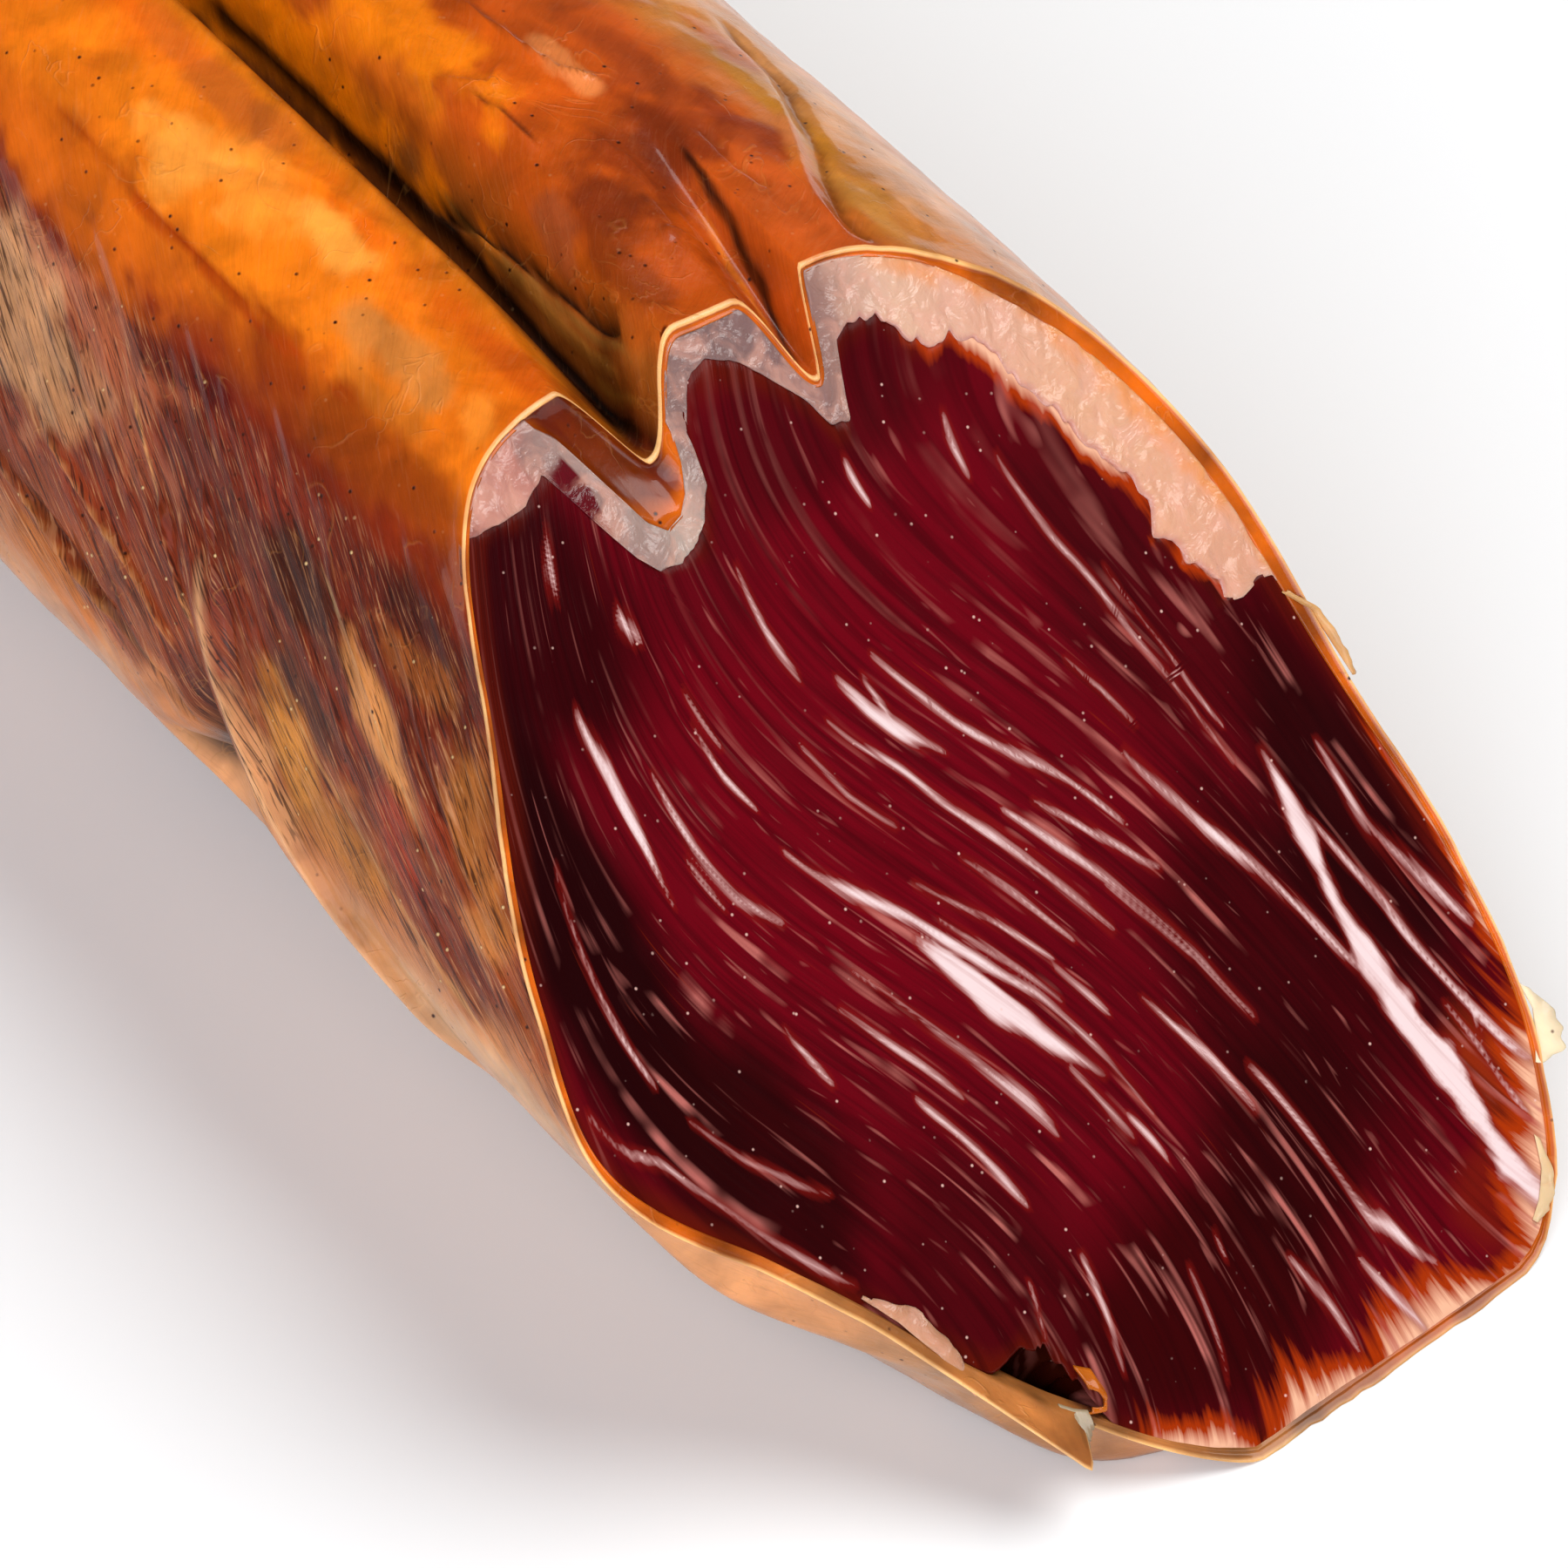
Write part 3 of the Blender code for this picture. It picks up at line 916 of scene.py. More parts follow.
@dataclass(frozen=True)
class CutLean:
    """Cut cured lean meat: deep crimson, moist, with white marbling along its fibres."""

    name: str = "cut_cured_lean"
    roughness: float = 0.2
    ior: float = 1.40
    specular: float = 0.13
    hair_length: float = 4.5 * MM
    hair_spacing: float = 0.42 * MM
    line_length: float = 15.0 * MM
    line_spacing: float = 0.55 * MM
    patch_size: float = 7.0 * MM
    fibre_length: float = 16.0 * MM
    fibre_width: float = 0.42 * MM
    glint_speck_spacing: float = 1.5 * MM
    vein: str = "#c0908c"
    vein_core: str = "#e4cccc"
    vein_fringe: str = "#7a120c"
    hair: str = "#b4645c"
    dark_fibre: str = "#1c0002"
    # pale colour of the specks: painted glints
    glint_speck: str = "#dcb0a4"
    pale_edge: str = "#e6b090"
    orange_edge: str = "#a03004"

    def material(self) -> bpy.types.Material:
        """Build the node material."""
        material, tree = new_material(self.name)
        place = add_node(tree, "ShaderNodeTexCoord", output="Object")
        painted = read_value(tree, Attribute.PAINT, "Color")
        marbling = read_value(tree, Attribute.MARBLING, "Fac")
        grain = add_node(tree, "ShaderNodeUVMap", uv_map=Attribute.GRAIN_MAP.value)
        # Dark fibres
        long = stretch(tree, grain, self.fibre_length, self.fibre_width)
        fibre = cloud(tree, long, 1.0, detail=3.0, roughness=0.6)
        dark = remap(tree, fibre, 0.56, 0.34, 0.0, 0.5)
        colour = blend(tree, dark, painted, self.dark_fibre)
        # Streaky pale edge, orange where it begins
        pale = read_value(tree, Attribute.RIM, "Fac")
        pale = add_node(tree, "ShaderNodeMath", {0: fibre, 1: 2.4, 2: pale}, operation="MULTIPLY_ADD")
        orange = remap(tree, pale, 0.62, 1.15, 0.0, 0.85)
        colour = blend(tree, orange, colour, self.orange_edge)
        pale = remap(tree, pale, 1.3, 2.0, 0.0, 0.9)
        colour = blend(tree, pale, colour, self.pale_edge)
        # Hairlines of fat between the fibres: short ones, and long ones in patches
        short = stretch(tree, grain, self.hair_length, self.hair_spacing)
        short = cloud(tree, short, 1.0, detail=1.0, distortion=0.5)
        short = remap(tree, short, 0.68, 0.82, 0.0, 0.6)
        line = stretch(tree, grain, self.line_length, self.line_spacing)
        line = cloud(tree, line, 1.0, detail=2.0, distortion=0.4)
        line = remap(tree, line, 0.57, 0.70, 0.0, 0.85)
        patch = cloud(tree, place, self.patch_size)
        patch = remap(tree, patch, 0.42, 0.56)
        line = multiply(tree, line, patch)
        height = add_node(tree, "ShaderNodeSeparateXYZ", {0: place}, output="Z")
        low = remap(tree, height, 46.0 * MM, 34.0 * MM, 0.2, 1.0)
        line = multiply(tree, line, low)
        hair = add_node(tree, "ShaderNodeMath", {0: short, 1: line}, operation="MAXIMUM")
        colour = blend(tree, hair, colour, self.hair)
        # Marbling from the mesh, frayed along the fibres, whitest in its middle
        fray = add_node(tree, "ShaderNodeMath", {0: fibre, 1: 0.5}, operation="SUBTRACT")
        fray = add_node(tree, "ShaderNodeMath", {0: fray, 1: 2.6, 2: marbling}, operation="MULTIPLY_ADD")
        fringe = remap(tree, fray, -1.0, 0.2, 0.0, 0.55)
        colour = blend(tree, fringe, colour, self.vein_fringe)
        white = remap(tree, fray, 0.0, 0.9, 0.0, 0.85)
        colour = blend(tree, white, colour, self.vein)
        core = remap(tree, fray, 0.6, 1.5, 0.0, 0.9)
        colour = blend(tree, core, colour, self.vein_core)
        # Tiny pale specks: painted glints of the moist face
        glint_speck = dots(tree, place, self.glint_speck_spacing)
        glint_speck = remap(tree, glint_speck, 0.10, 0.04, 0.0, 0.8)
        gone = cloud(tree, place, self.glint_speck_spacing * 2.0)
        gone = remap(tree, gone, 0.45, 0.55)
        glint_speck = multiply(tree, glint_speck, gone)
        colour = blend(tree, glint_speck, colour, self.glint_speck)
        bump = add_bump(tree, fibre, 0.3, 0.25 * MM)
        bump = add_bump(tree, white, 0.4, 0.15 * MM, bump)
        add_surface(
            tree,
            {
                "Base Color": colour,
                "Roughness": self.roughness,
                "IOR": self.ior,
                "Specular IOR Level": self.specular,
                "Normal": bump,
            },
        )
        return material


@dataclass(frozen=True)
class CutFat:
    """Cut cured back fat: pale pink to peach, moist, slightly see-through, in small lobes."""

    name: str = "cut_back_fat"
    roughness: float = 0.18
    ior: float = 1.46
    scatter: float = 0.35
    scatter_depth: float = 1.6 * MM
    lobe_size: float = 2.4 * MM
    grain_size: float = 0.5 * MM
    # pinker colour in the low places between the lobes: painted shade
    shade: str = "#d8a08c"

    def material(self) -> bpy.types.Material:
        """Build the node material."""
        material, tree = new_material(self.name)
        place = add_node(tree, "ShaderNodeTexCoord", output="Object")
        painted = read_value(tree, Attribute.PAINT, "Color")
        lobes = cloud(tree, place, self.lobe_size, detail=4.0, distortion=0.8)
        # Pinker in the low places of the lobes' relief: painted shade between the lumps
        shade = remap(tree, lobes, 0.55, 0.35, 0.0, 0.45)
        colour = blend(tree, shade, painted, self.shade)
        fine = cloud(tree, place, self.grain_size, detail=3.0)
        bump = add_bump(tree, lobes, 0.6, 0.6 * MM)
        bump = add_bump(tree, fine, 0.3, 0.2 * MM, bump)
        add_surface(
            tree,
            {
                "Base Color": colour,
                "Roughness": self.roughness,
                "IOR": self.ior,
                "Subsurface Weight": self.scatter,
                "Subsurface Radius": (1.0, 0.55, 0.4),
                "Subsurface Scale": self.scatter_depth,
                "Normal": bump,
            },
        )
        return material


# The pieces


def dress(piece: bpy.types.Object, material: bpy.types.Material, slot: Slot, *nodes: str) -> None:
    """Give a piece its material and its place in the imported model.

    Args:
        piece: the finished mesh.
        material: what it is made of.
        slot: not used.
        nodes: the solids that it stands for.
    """
    piece.data.materials.clear()
    piece.data.materials.append(material)
    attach(piece, "root")
    if nodes:
        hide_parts(*nodes)
    log.info("%s: %d faces", piece.name, len(piece.data.polygons))


# Lines of the casing that are both raised and painted, as (mm behind the cut, degrees)
LARGE_FOLD = ((38, 157), (39, 166), (38, 174), (34, 181), (26, 188))
LONG_WRINKLE = ((0, 60.5), (4, 60.8), (9, 58), (14, 54), (25, 47.8), (34, 46))
CREASE_EDGE = ((8, 100.6), (14, 100.0), (24, 99.4), (32, 98.6))
SECOND_FURROW = ((6, 97.4), (14, 97.0), (24, 97.8), (34, 100.0))
LOBE_LINE = ((24, 128), (30, 129), (40, 129.2), (54, 128.4))
UPPER_SMALL_FOLD = ((60, 160), (52, 164), (47, 169))
LOWER_SMALL_FOLD = ((74, 166), (62, 172), (52, 174))
SMALL_FURROW = ((66, 168), (57, 172.5), (50, 176))
# Bottoms of the creases, which are only painted, as dark lines of painted shade
SHORT_CREASE_BOTTOM = ((1, 76.2), (3, 75.3), (5, 74), (7.5, 73.5), (10, 73.2), (14, 72.2))
MAIN_CREASE_BOTTOM = (
    *((2, 105.8), (5.5, 105), (10, 104), (16, 103.2)),
    *((22, 102.2), (27, 101.2), (33, 100.6), (62, 100.2)),
)


@dataclass(frozen=True)
class Casing:
    """The casing: a thin sleeve, folded and creased, closed at the round end."""

    form: LoinForm
    outlines: CutOutlines
    columns: int = 332
    # Where columns crowd: angle, half width, how many more
    crowds: tuple[tuple[float, float, float], ...] = (
        (104.0, 7.0, 1.2),
        (111.5, 4.5, 4.0),
        (72.8, 2.0, 4.0),
        (236.0, 9.0, 1.0),
    )
    ring_step: float = 0.5 * MM
    fine_length: float = 95 * MM
    coarse_step: float = 3.4 * MM
    step_change: float = 30 * MM
    mean_radius: float = 37.0  # millimetres
    flap_angle: float = 238.0
    flap_length: float = 3.6 * MM
    flap_flare: float = 1.5 * MM
    flap_rise: float = 30.0
    flap_fall: float = 5.0
    # The lip: how far in from the outer edge and forward of the cut, and the share of the
    # way over the rim
    lip: tuple[tuple[float, float, float], ...] = (
        (0.00, 0.10 * MM, 0.04),
        (0.05 * MM, 0.26 * MM, 0.10),
        (0.13 * MM, 0.33 * MM, 0.16),
        (0.22 * MM, 0.24 * MM, 0.24),
        (0.34 * MM, 0.10 * MM, 0.32),
    )
    # The same for the band inside the lip, as shares of the rest of the wall
    band: tuple[tuple[float, float], ...] = (
        (0.15, 0.02 * MM),
        (0.35, 0.02 * MM),
        (0.60, 0.04 * MM),
        (0.80, 0.08 * MM),
        (0.92, 0.14 * MM),
        (1.00, 0.02 * MM),
    )
    notch_angle: float = 110.8
    notch_width: float = 7.6
    notch_depth: float = 1.6 * MM
    # Millimetres behind the cut of the rows inside the sleeve
    inner_rows: tuple[float, ...] = (
        *(1.5, 4.0, 9.0, 20.0, 32.0, 45.0, 60.0),
        *(78.0, 92.0, 140.0, 180.0, 205.0, 225.0, 238.0),
    )
    folds: tuple[Fold, ...] = (
        # The large fold on the left side and the hollow behind it
        Fold(LARGE_FOLD, 1.3, 5.0, 2.6, 6.0),
        Fold(((42, 173), (46, 179), (52, 184), (62, 190)), -3.6, 4.0, 4.5, 8.0),
        Fold(((43, 155), (42.5, 159), (41.5, 163)), 0.7, 1.0, 0.8, 2.0),
        # Wrinkles on the right lobe
        Fold(LONG_WRINKLE, -0.6, 1.1, 1.4, 6.0),
        Fold(((2, 63.5), (7, 62.5), (13, 58), (20, 53)), 0.4, 0.8, 0.8, 4.0),
        Fold(((8, 66.5), (11, 67.4), (16, 67.2)), -0.45, 0.5, 1.0, 2.0),
        Fold(((4, 79.6), (9, 78.6), (15, 79.2), (20, 81)), 0.35, 0.5, 0.7, 2.0),
        Fold(CREASE_EDGE, 0.4, 0.5, 0.5, 4.0),
        # Small folds between the purple fibres and the tan below
        Fold(UPPER_SMALL_FOLD, 0.45, 0.8, 0.8, 3.0),
        Fold(LOWER_SMALL_FOLD, 0.5, 0.9, 0.9, 3.0),
        Fold(SMALL_FURROW, -0.6, 1.0, 1.0, 3.0),
        Fold(((24, 73.5), (26, 76.3), (30, 78.2), (37, 79.6)), 0.45, 0.5, 0.9, 3.0),
        Fold(((20, 88.2), (23, 88.2), (28, 89.6)), 0.4, 0.4, 0.8, 2.0),
        Fold(((29, 82), (27, 86), (30, 91), (36, 94)), 0.35, 0.8, 0.8, 3.0),
        Fold(((1, 90), (3, 94), (6, 97)), 0.3, 0.5, 0.8, 2.0),
        Fold(((4, 76), (7, 79), (7, 84)), 0.3, 0.6, 0.8, 2.0),
        # Second furrow beside the main crease
        Fold(SECOND_FURROW, -1.0, 0.8, 0.7, 5.0),
        # Fine line along the left lobe
        Fold(LOBE_LINE, -0.2, 0.35, 0.35, 4.0),
        Fold(((20, 111.5), (29, 113.2), (38, 118.0), (48, 122.5)), 0.25, 1.2, 0.7, 5.0),
        # Ridges between the side's fibres
        Fold(((19, 145), (16.5, 150), (14.5, 154)), 0.35, 0.7, 0.7, 2.0),
        Fold(((9, 150), (6, 156), (4, 162)), 0.35, 0.7, 0.7, 2.0),
        Fold(((36, 150), (36.5, 156), (37, 163)), 0.4, 0.8, 0.8, 3.0),
    )
    # pale lip line, partly a painted highlight on the rolled edge
    lip_highlight: str = "#ffc680"
    membrane: str = "#c65a04"
    low_membrane: str = "#a8703c"
    notch: str = "#641a00"
    far_amber: str = "#c07628"
    far_brown: str = "#6a3420"
    base: tuple[tuple[float, str], ...] = (
        (0, "#b3602e"),
        (20, "#c4713c"),
        (40, "#ce8755"),
        (50, "#c67e37"),
        (56, "#bb6f27"),
        (64, "#c05114"),
        (80, "#b84a0c"),
        (93, "#b84c0c"),
        (96.5, "#b05010"),
        (99, "#a4561a"),
        # From 102 to 107.5 degrees the bands go near black at the bottom of the main crease: painted
        # shade
        (102, "#84400e"),
        (104, "#5c280a"),
        (105.5, "#1e0802"),
        (107.5, "#80400a"),
        (109.5, "#d06c0c"),
        (114, "#df6208"),
        (126, "#df6e11"),
        (133, "#a8480a"),
        (138, "#7e2509"),
        (144, "#6b210f"),
        (160, "#802e14"),
        (172, "#9e4a1e"),
        (180, "#c68350"),
        (190, "#d59360"),
        (205, "#cc8754"),
        (225, "#b07c50"),
        (250, "#a87048"),
        (290, "#aa602e"),
        (330, "#954c24"),
    )
    dabs: tuple[Dab, ...] = (
        # Left lobe
        Dab(30, 120, 34, 8, "#ef7b11", 0.8),
        Dab(24, 116.5, 4.6, 3.0, "#ffa13c", 0.9),
        Dab(33, 118.5, 4.6, 4.0, "#ff912b", 0.9),
        Dab(40, 122, 4.8, 4.0, "#ff9d39", 0.9),
        Dab(4, 121, 3.2, 3.4, "#ff912b", 0.8),
        Dab(13, 121.5, 7.0, 3.6, "#c67e3a", 0.7),
        Dab(12, 127, 6.0, 1.6, "#b4621c", 0.6),
        Dab(5, 113, 6.0, 2.6, "#c95208", 0.8),
        Dab(10, 132.5, 12, 4.2, "#943b06", 0.85),
        Dab(23, 130.5, 4.0, 3.6, "#882c03", 0.75),
        Dab(50, 133, 14, 4.5, "#d6640d", 0.7),
        Dab(48, 138, 10, 2.6, "#c45a0d", 0.8),
        Dab(43, 113.5, 6.5, 2.6, "#c05c1c", 0.7),
        Dab(36, 112.3, 3.0, 2.0, "#a4501a", 0.6),
        Dab(50, 113, 5.0, 3.0, "#c05915", 0.7),
        Dab(31, 129, 14, 0.7, "#a43503", 0.7),
        # Side
        Dab(20, 145, 26, 8.5, "#6b210f", 0.7),
        Dab(27, 142.5, 8.0, 4.0, "#7d2815", 0.8),
        Dab(33, 138.8, 3.0, 2.0, "#560a04", 0.9),
        Dab(22, 150, 5.0, 4.6, "#461c0d", 0.85),
        Dab(27, 159.5, 4.0, 3.8, "#502511", 0.8),
        Dab(8, 141.5, 6.5, 2.6, "#4c170d", 0.8),
        Dab(8, 147, 5.0, 2.8, "#9b531f", 0.7),
        Dab(14, 156, 4.2, 4.2, "#da8d4e", 0.95, -0.8),
        Dab(17, 151, 2.0, 2.4, "#ca8145", 0.9),
        Dab(3, 157, 3.6, 9.0, "#bd7131", 0.75),
        Dab(8, 159.5, 3.0, 3.0, "#993614", 0.7),
        Dab(12, 170, 9.0, 5.0, "#7d2912", 0.85),
        Dab(15, 164, 2.4, 4.4, "#992b0a", 0.85, 0.9),
        Dab(5, 165, 3.0, 2.6, "#cc7d3f", 0.8),
        Dab(50, 144.5, 12, 4.2, "#b8603a", 0.85),
        Dab(50, 151, 10, 4.6, "#a35334", 0.8),
        Dab(57, 155.5, 5.0, 3.4, "#c97d4e", 0.8),
        Dab(54, 162, 8.0, 3.0, "#8b3316", 0.8),
        Dab(47, 165, 7.0, 2.4, "#8d340c", 0.8),
        Dab(31, 164, 3.4, 4.6, "#ae6216", 0.85),
        Dab(27, 171, 8.0, 5.0, "#c1752a", 0.85),
        Dab(32, 168, 4.0, 3.6, "#d38531", 0.8),
        Dab(37, 173, 2.4, 7.0, "#d08d59", 0.9),
        Dab(35, 182, 6.0, 4.6, "#c98559", 0.9),
        Dab(46, 172, 6.0, 3.0, "#70240c", 0.85),
        Dab(60, 172, 8.0, 4.4, "#813111", 0.8),
        Dab(68, 177, 6.0, 5.0, "#c06716", 0.8),
        Dab(58, 181.5, 8.0, 3.0, "#be6f35", 0.8, 0.5),
        Dab(66, 150, 13, 9.0, "#d19767", 0.8),
        # Near black in the hollow behind the large fold: painted shade
        Dab(49, 182.5, 8.0, 4.0, "#2e0904", 0.97, 0.6),
        Dab(14, 183, 18, 4.8, "#cc9a70", 0.9),
        # Right lobe
        Dab(12, 42, 15, 4.4, "#d19163", 0.85),
        Dab(26, 44, 12, 5.0, "#d59258", 0.8),
        Dab(2, 49, 4.0, 5.0, "#cd7726", 0.8),
        Dab(18, 53, 12, 2.8, "#bb7824", 0.85),
        Dab(7, 56, 7.0, 2.2, "#c68337", 0.8),
        Dab(18, 57.5, 8.0, 2.0, "#c8713d", 0.8),
        Dab(28, 51, 4.5, 2.6, "#b7591d", 0.8),
        Dab(15, 62.5, 4.6, 3.4, "#852d0d", 0.9),
        Dab(6, 66, 8.0, 4.6, "#bc511b", 0.7),
        Dab(17, 72, 5.0, 5.0, "#782709", 0.85),
        Dab(24, 68, 8.0, 3.4, "#953a14", 0.7),
        Dab(11, 86, 5.0, 5.6, "#6c2408", 0.85),
        Dab(15, 79.5, 4.0, 4.6, "#812d09", 0.8),
        Dab(30, 84, 10, 7.0, "#d2590b", 0.7),
        Dab(27, 75.4, 3.6, 2.0, "#db7f42", 0.8),
        Dab(38, 93, 9.0, 2.6, "#e06d15", 0.8),
        Dab(5, 92, 5.0, 3.6, "#88360c", 0.7),
        Dab(14, 92.5, 3.0, 2.6, "#904625", 0.6),
        Dab(40, 88, 14, 5.0, "#ee7c08", 0.85),
        # Main crease: bright orange on its far wall, and dark dabs near its bottom as painted shade
        Dab(56, 99.0, 24, 4.6, "#ff8204", 0.95),
        Dab(40, 101.6, 9.0, 1.4, "#5a2a0e", 0.8),
        Dab(3, 106, 4.0, 2.6, "#631a03", 0.8),
    )

    # Thin lines of paint: folds of height 1 whose rise is the share of their colour
    strokes: tuple[tuple[Fold, str], ...] = (
        # Painted shade at the bottom of the short crease
        (Fold(SHORT_CREASE_BOTTOM, 0.95, 0.6, 0.5, 2.0), "#240801"),
        # Painted highlight along the rim beside the short crease
        (Fold(((0, 77.6), (5, 75.9), (11, 75.0)), 0.7, 0.5, 0.5, 2.0), "#f08420"),
        # Painted shade at the bottom of the main crease
        (Fold(MAIN_CREASE_BOTTOM, 0.97, 0.9, 2.0, 4.0), "#090200"),
        # Golden lines on the main crease's wall: painted highlights
        (Fold(CREASE_EDGE, 0.6, 0.5, 0.5, 4.0), "#b4762c"),
        (Fold(((3, 102.4), (7, 102.2), (13, 101.6)), 0.6, 0.5, 0.5, 3.0), "#a06420"),
        # Painted shade in the second furrow
        (Fold(SECOND_FURROW, 0.95, 0.6, 0.6, 4.0), "#1a0902"),
        # Painted highlight beside the second furrow
        (Fold(((4, 98.8), (14, 98.4), (24, 99.2)), 0.5, 0.4, 0.4, 4.0), "#b08038"),
        (Fold(LOBE_LINE, 0.6, 0.4, 0.4, 4.0), "#962c00"),
        # Painted highlight along the large fold
        (Fold(LARGE_FOLD, 0.7, 0.7, 0.9, 4.0), "#f0b480"),
        # Painted shade in the hollow behind the large fold
        (Fold(((43, 171), (47, 178), (53, 184), (62, 190)), 1.0, 3.0, 2.2, 4.0), "#1e0702"),
        # Pale lines on the side's ridges and small folds: painted highlights
        (Fold(((45, 147), (44, 153), (42.5, 160), (40.5, 165)), 0.7, 0.4, 0.4, 2.0), "#f0a860"),
        (Fold(UPPER_SMALL_FOLD, 0.6, 0.5, 0.4, 4.0), "#d88c48"),
        (Fold(LOWER_SMALL_FOLD, 0.6, 0.5, 0.4, 4.0), "#cc8440"),
        # Painted shade in the small furrow
        (Fold(SMALL_FURROW, 0.7, 0.9, 0.6, 4.0), "#4c2010"),
        # More pale lines on the side: painted highlights
        (Fold(((30, 160), (26, 166), (20, 172), (10, 179)), 0.5, 0.5, 0.5, 5.0), "#d8a060"),
        (Fold(((20, 146), (17, 151), (13, 158), (9, 164)), 0.5, 0.3, 0.3, 2.0), "#e0b078"),
        # Painted shade in the long wrinkle's furrow
        (Fold(LONG_WRINKLE, 0.7, 0.6, 0.6, 4.0), "#7c3c08"),
        (Fold(((20, 88.0), (24, 87.6), (28, 89.0)), 0.7, 0.4, 0.4, 2.0), "#501c04"),
        (Fold(((24, 73.0), (26, 75.8), (30, 77.8), (37, 79.2)), 0.6, 0.4, 0.4, 3.0), "#702c08"),
    )

    def angles(self) -> np.ndarray:
        """Angles of the columns; they crowd on the top and the left, and in the creases."""
        fine = np.linspace(0.0, 360.0, 7201)
        crowding = 1.0 + 1.2 * ease((fine - 38) / 8) * ease((192 - fine) / 8)
        for middle, width, more in self.crowds:
            crowding += more * np.exp(-(((fine - middle) / width) ** 2))
        count = np.concatenate(([0.0], np.cumsum(0.5 * (crowding[1:] + crowding[:-1]))))
        return np.interp(np.arange(self.columns + 1) * count[-1] / self.columns, count, fine)

    def ring_shares(self) -> np.ndarray:
        """Where the rings lie, as shares of the way from the round end to the cut."""
        places = [0.0]
        while places[-1] < self.form.mean_length:
            behind = places[-1]
            coarse = ease((behind - self.fine_length) / self.step_change)
            step = self.ring_step + (self.coarse_step - self.ring_step) * coarse
            left = self.form.mean_length - behind
            places.append(behind + max(min(step, 0.16 * left), 0.12 * MM))
        places[-1] = self.form.mean_length
        return 1.0 - np.array(places[::-1]) / places[-1]

    def relief(self, angle: np.ndarray, behind: np.ndarray) -> np.ndarray:
        """Height of the folds and of the uneven skin over the plain form."""
        in_mm, arc = behind / MM, np.radians(angle) * self.mean_radius
        height = np.zeros(in_mm.shape)
        for fold in self.folds:
            near = (in_mm > min(b for b, _ in fold.line) - 8) & (in_mm < max(b for b, _ in fold.line) + 8)
            height[near] += fold.rise(in_mm[near], arc[near], self.mean_radius)
        skin = np.stack((in_mm, arc), -1)
        side = ease((angle - 132) / 8) * ease((184 - angle) / 8)
        turned = np.stack((-0.55 * in_mm + 0.83 * arc, 0.83 * in_mm + 0.55 * arc), -1)
        height += 0.16 * side * soft_noise(turned * (0.16, 1.0), 1.5, seed=3, octaves=2)
        height += 0.10 * soft_noise(skin, 4.0, seed=1, octaves=3)
        height += 0.35 * soft_noise(skin * (0.5, 1.0), 15.0, seed=2, octaves=2)
        return height * MM

    def flap(self, angle: np.ndarray) -> np.ndarray:
        """How much of the loose flap's length the edge has at the angles."""
        turn = turn_between(angle, self.flap_angle)
        width = np.where(turn < 0, self.flap_rise, self.flap_fall)
        long_side = np.clip(1.0 - np.abs(turn) / width, 0.0, 1.0)
        return np.where(turn < 0, long_side**1.5, ease(long_side))

    def rim(self, angle: np.ndarray, edge: np.ndarray) -> list[tuple[np.ndarray, np.ndarray, float]]:
        """Work out the rows of the cut edge, from the outside over the lip to the inner wall.

        Args:
            angle: degrees of the columns.
            edge: outer radius at the cut for each.

        Returns:
            For each row its radii, how far it is forward of the cut, and the share of the
            way over the rim.
        """
        inner = np.minimum(read_round(angle, self.outlines.casing_inner), edge - 0.3 * MM)
        flap = self.flap(angle)
        torn = 0.5 * soft_noise(np.stack((angle / 4.0, angle * 0), -1), 1.0, seed=41, octaves=3)
        right = ease((angle - 250) / 20) + ease((62 - angle) / 12)
        ahead = self.flap_length * flap + MM * (0.10 + 0.42 * right) * (torn + 0.3)
        flare = self.flap_flare * flap
        inside = np.clip(1.0 - np.abs(turn_between(angle, self.notch_angle)) / self.notch_width, 0.0, 1.0)
        notch = self.notch_depth * ease(1.6 * inside)
        rows = []
        for share in (0.3, 0.6, 0.85):
            rows.append((edge + flare * share**1.5, ahead * share, 0.0))
        wall = edge - inner
        widest = self.lip[-1][0]
        for inset, up, share in self.lip:
            inset = np.minimum(inset, 0.5 * wall * inset / widest)
            rows.append((edge + flare - inset, ahead + up, share))
        start = np.minimum(widest, 0.5 * wall)
        for share, up in self.band:
            kept = 0.72 ** (share * 6.0)
            sunk = notch * math.sin(math.pi * share) ** 0.7
            radius = edge - start - (wall - start) * share + flare * kept
            rows.append((radius, ahead * kept * (share < 1.0) + up - sunk, 0.35 + 0.65 * share))
        return rows

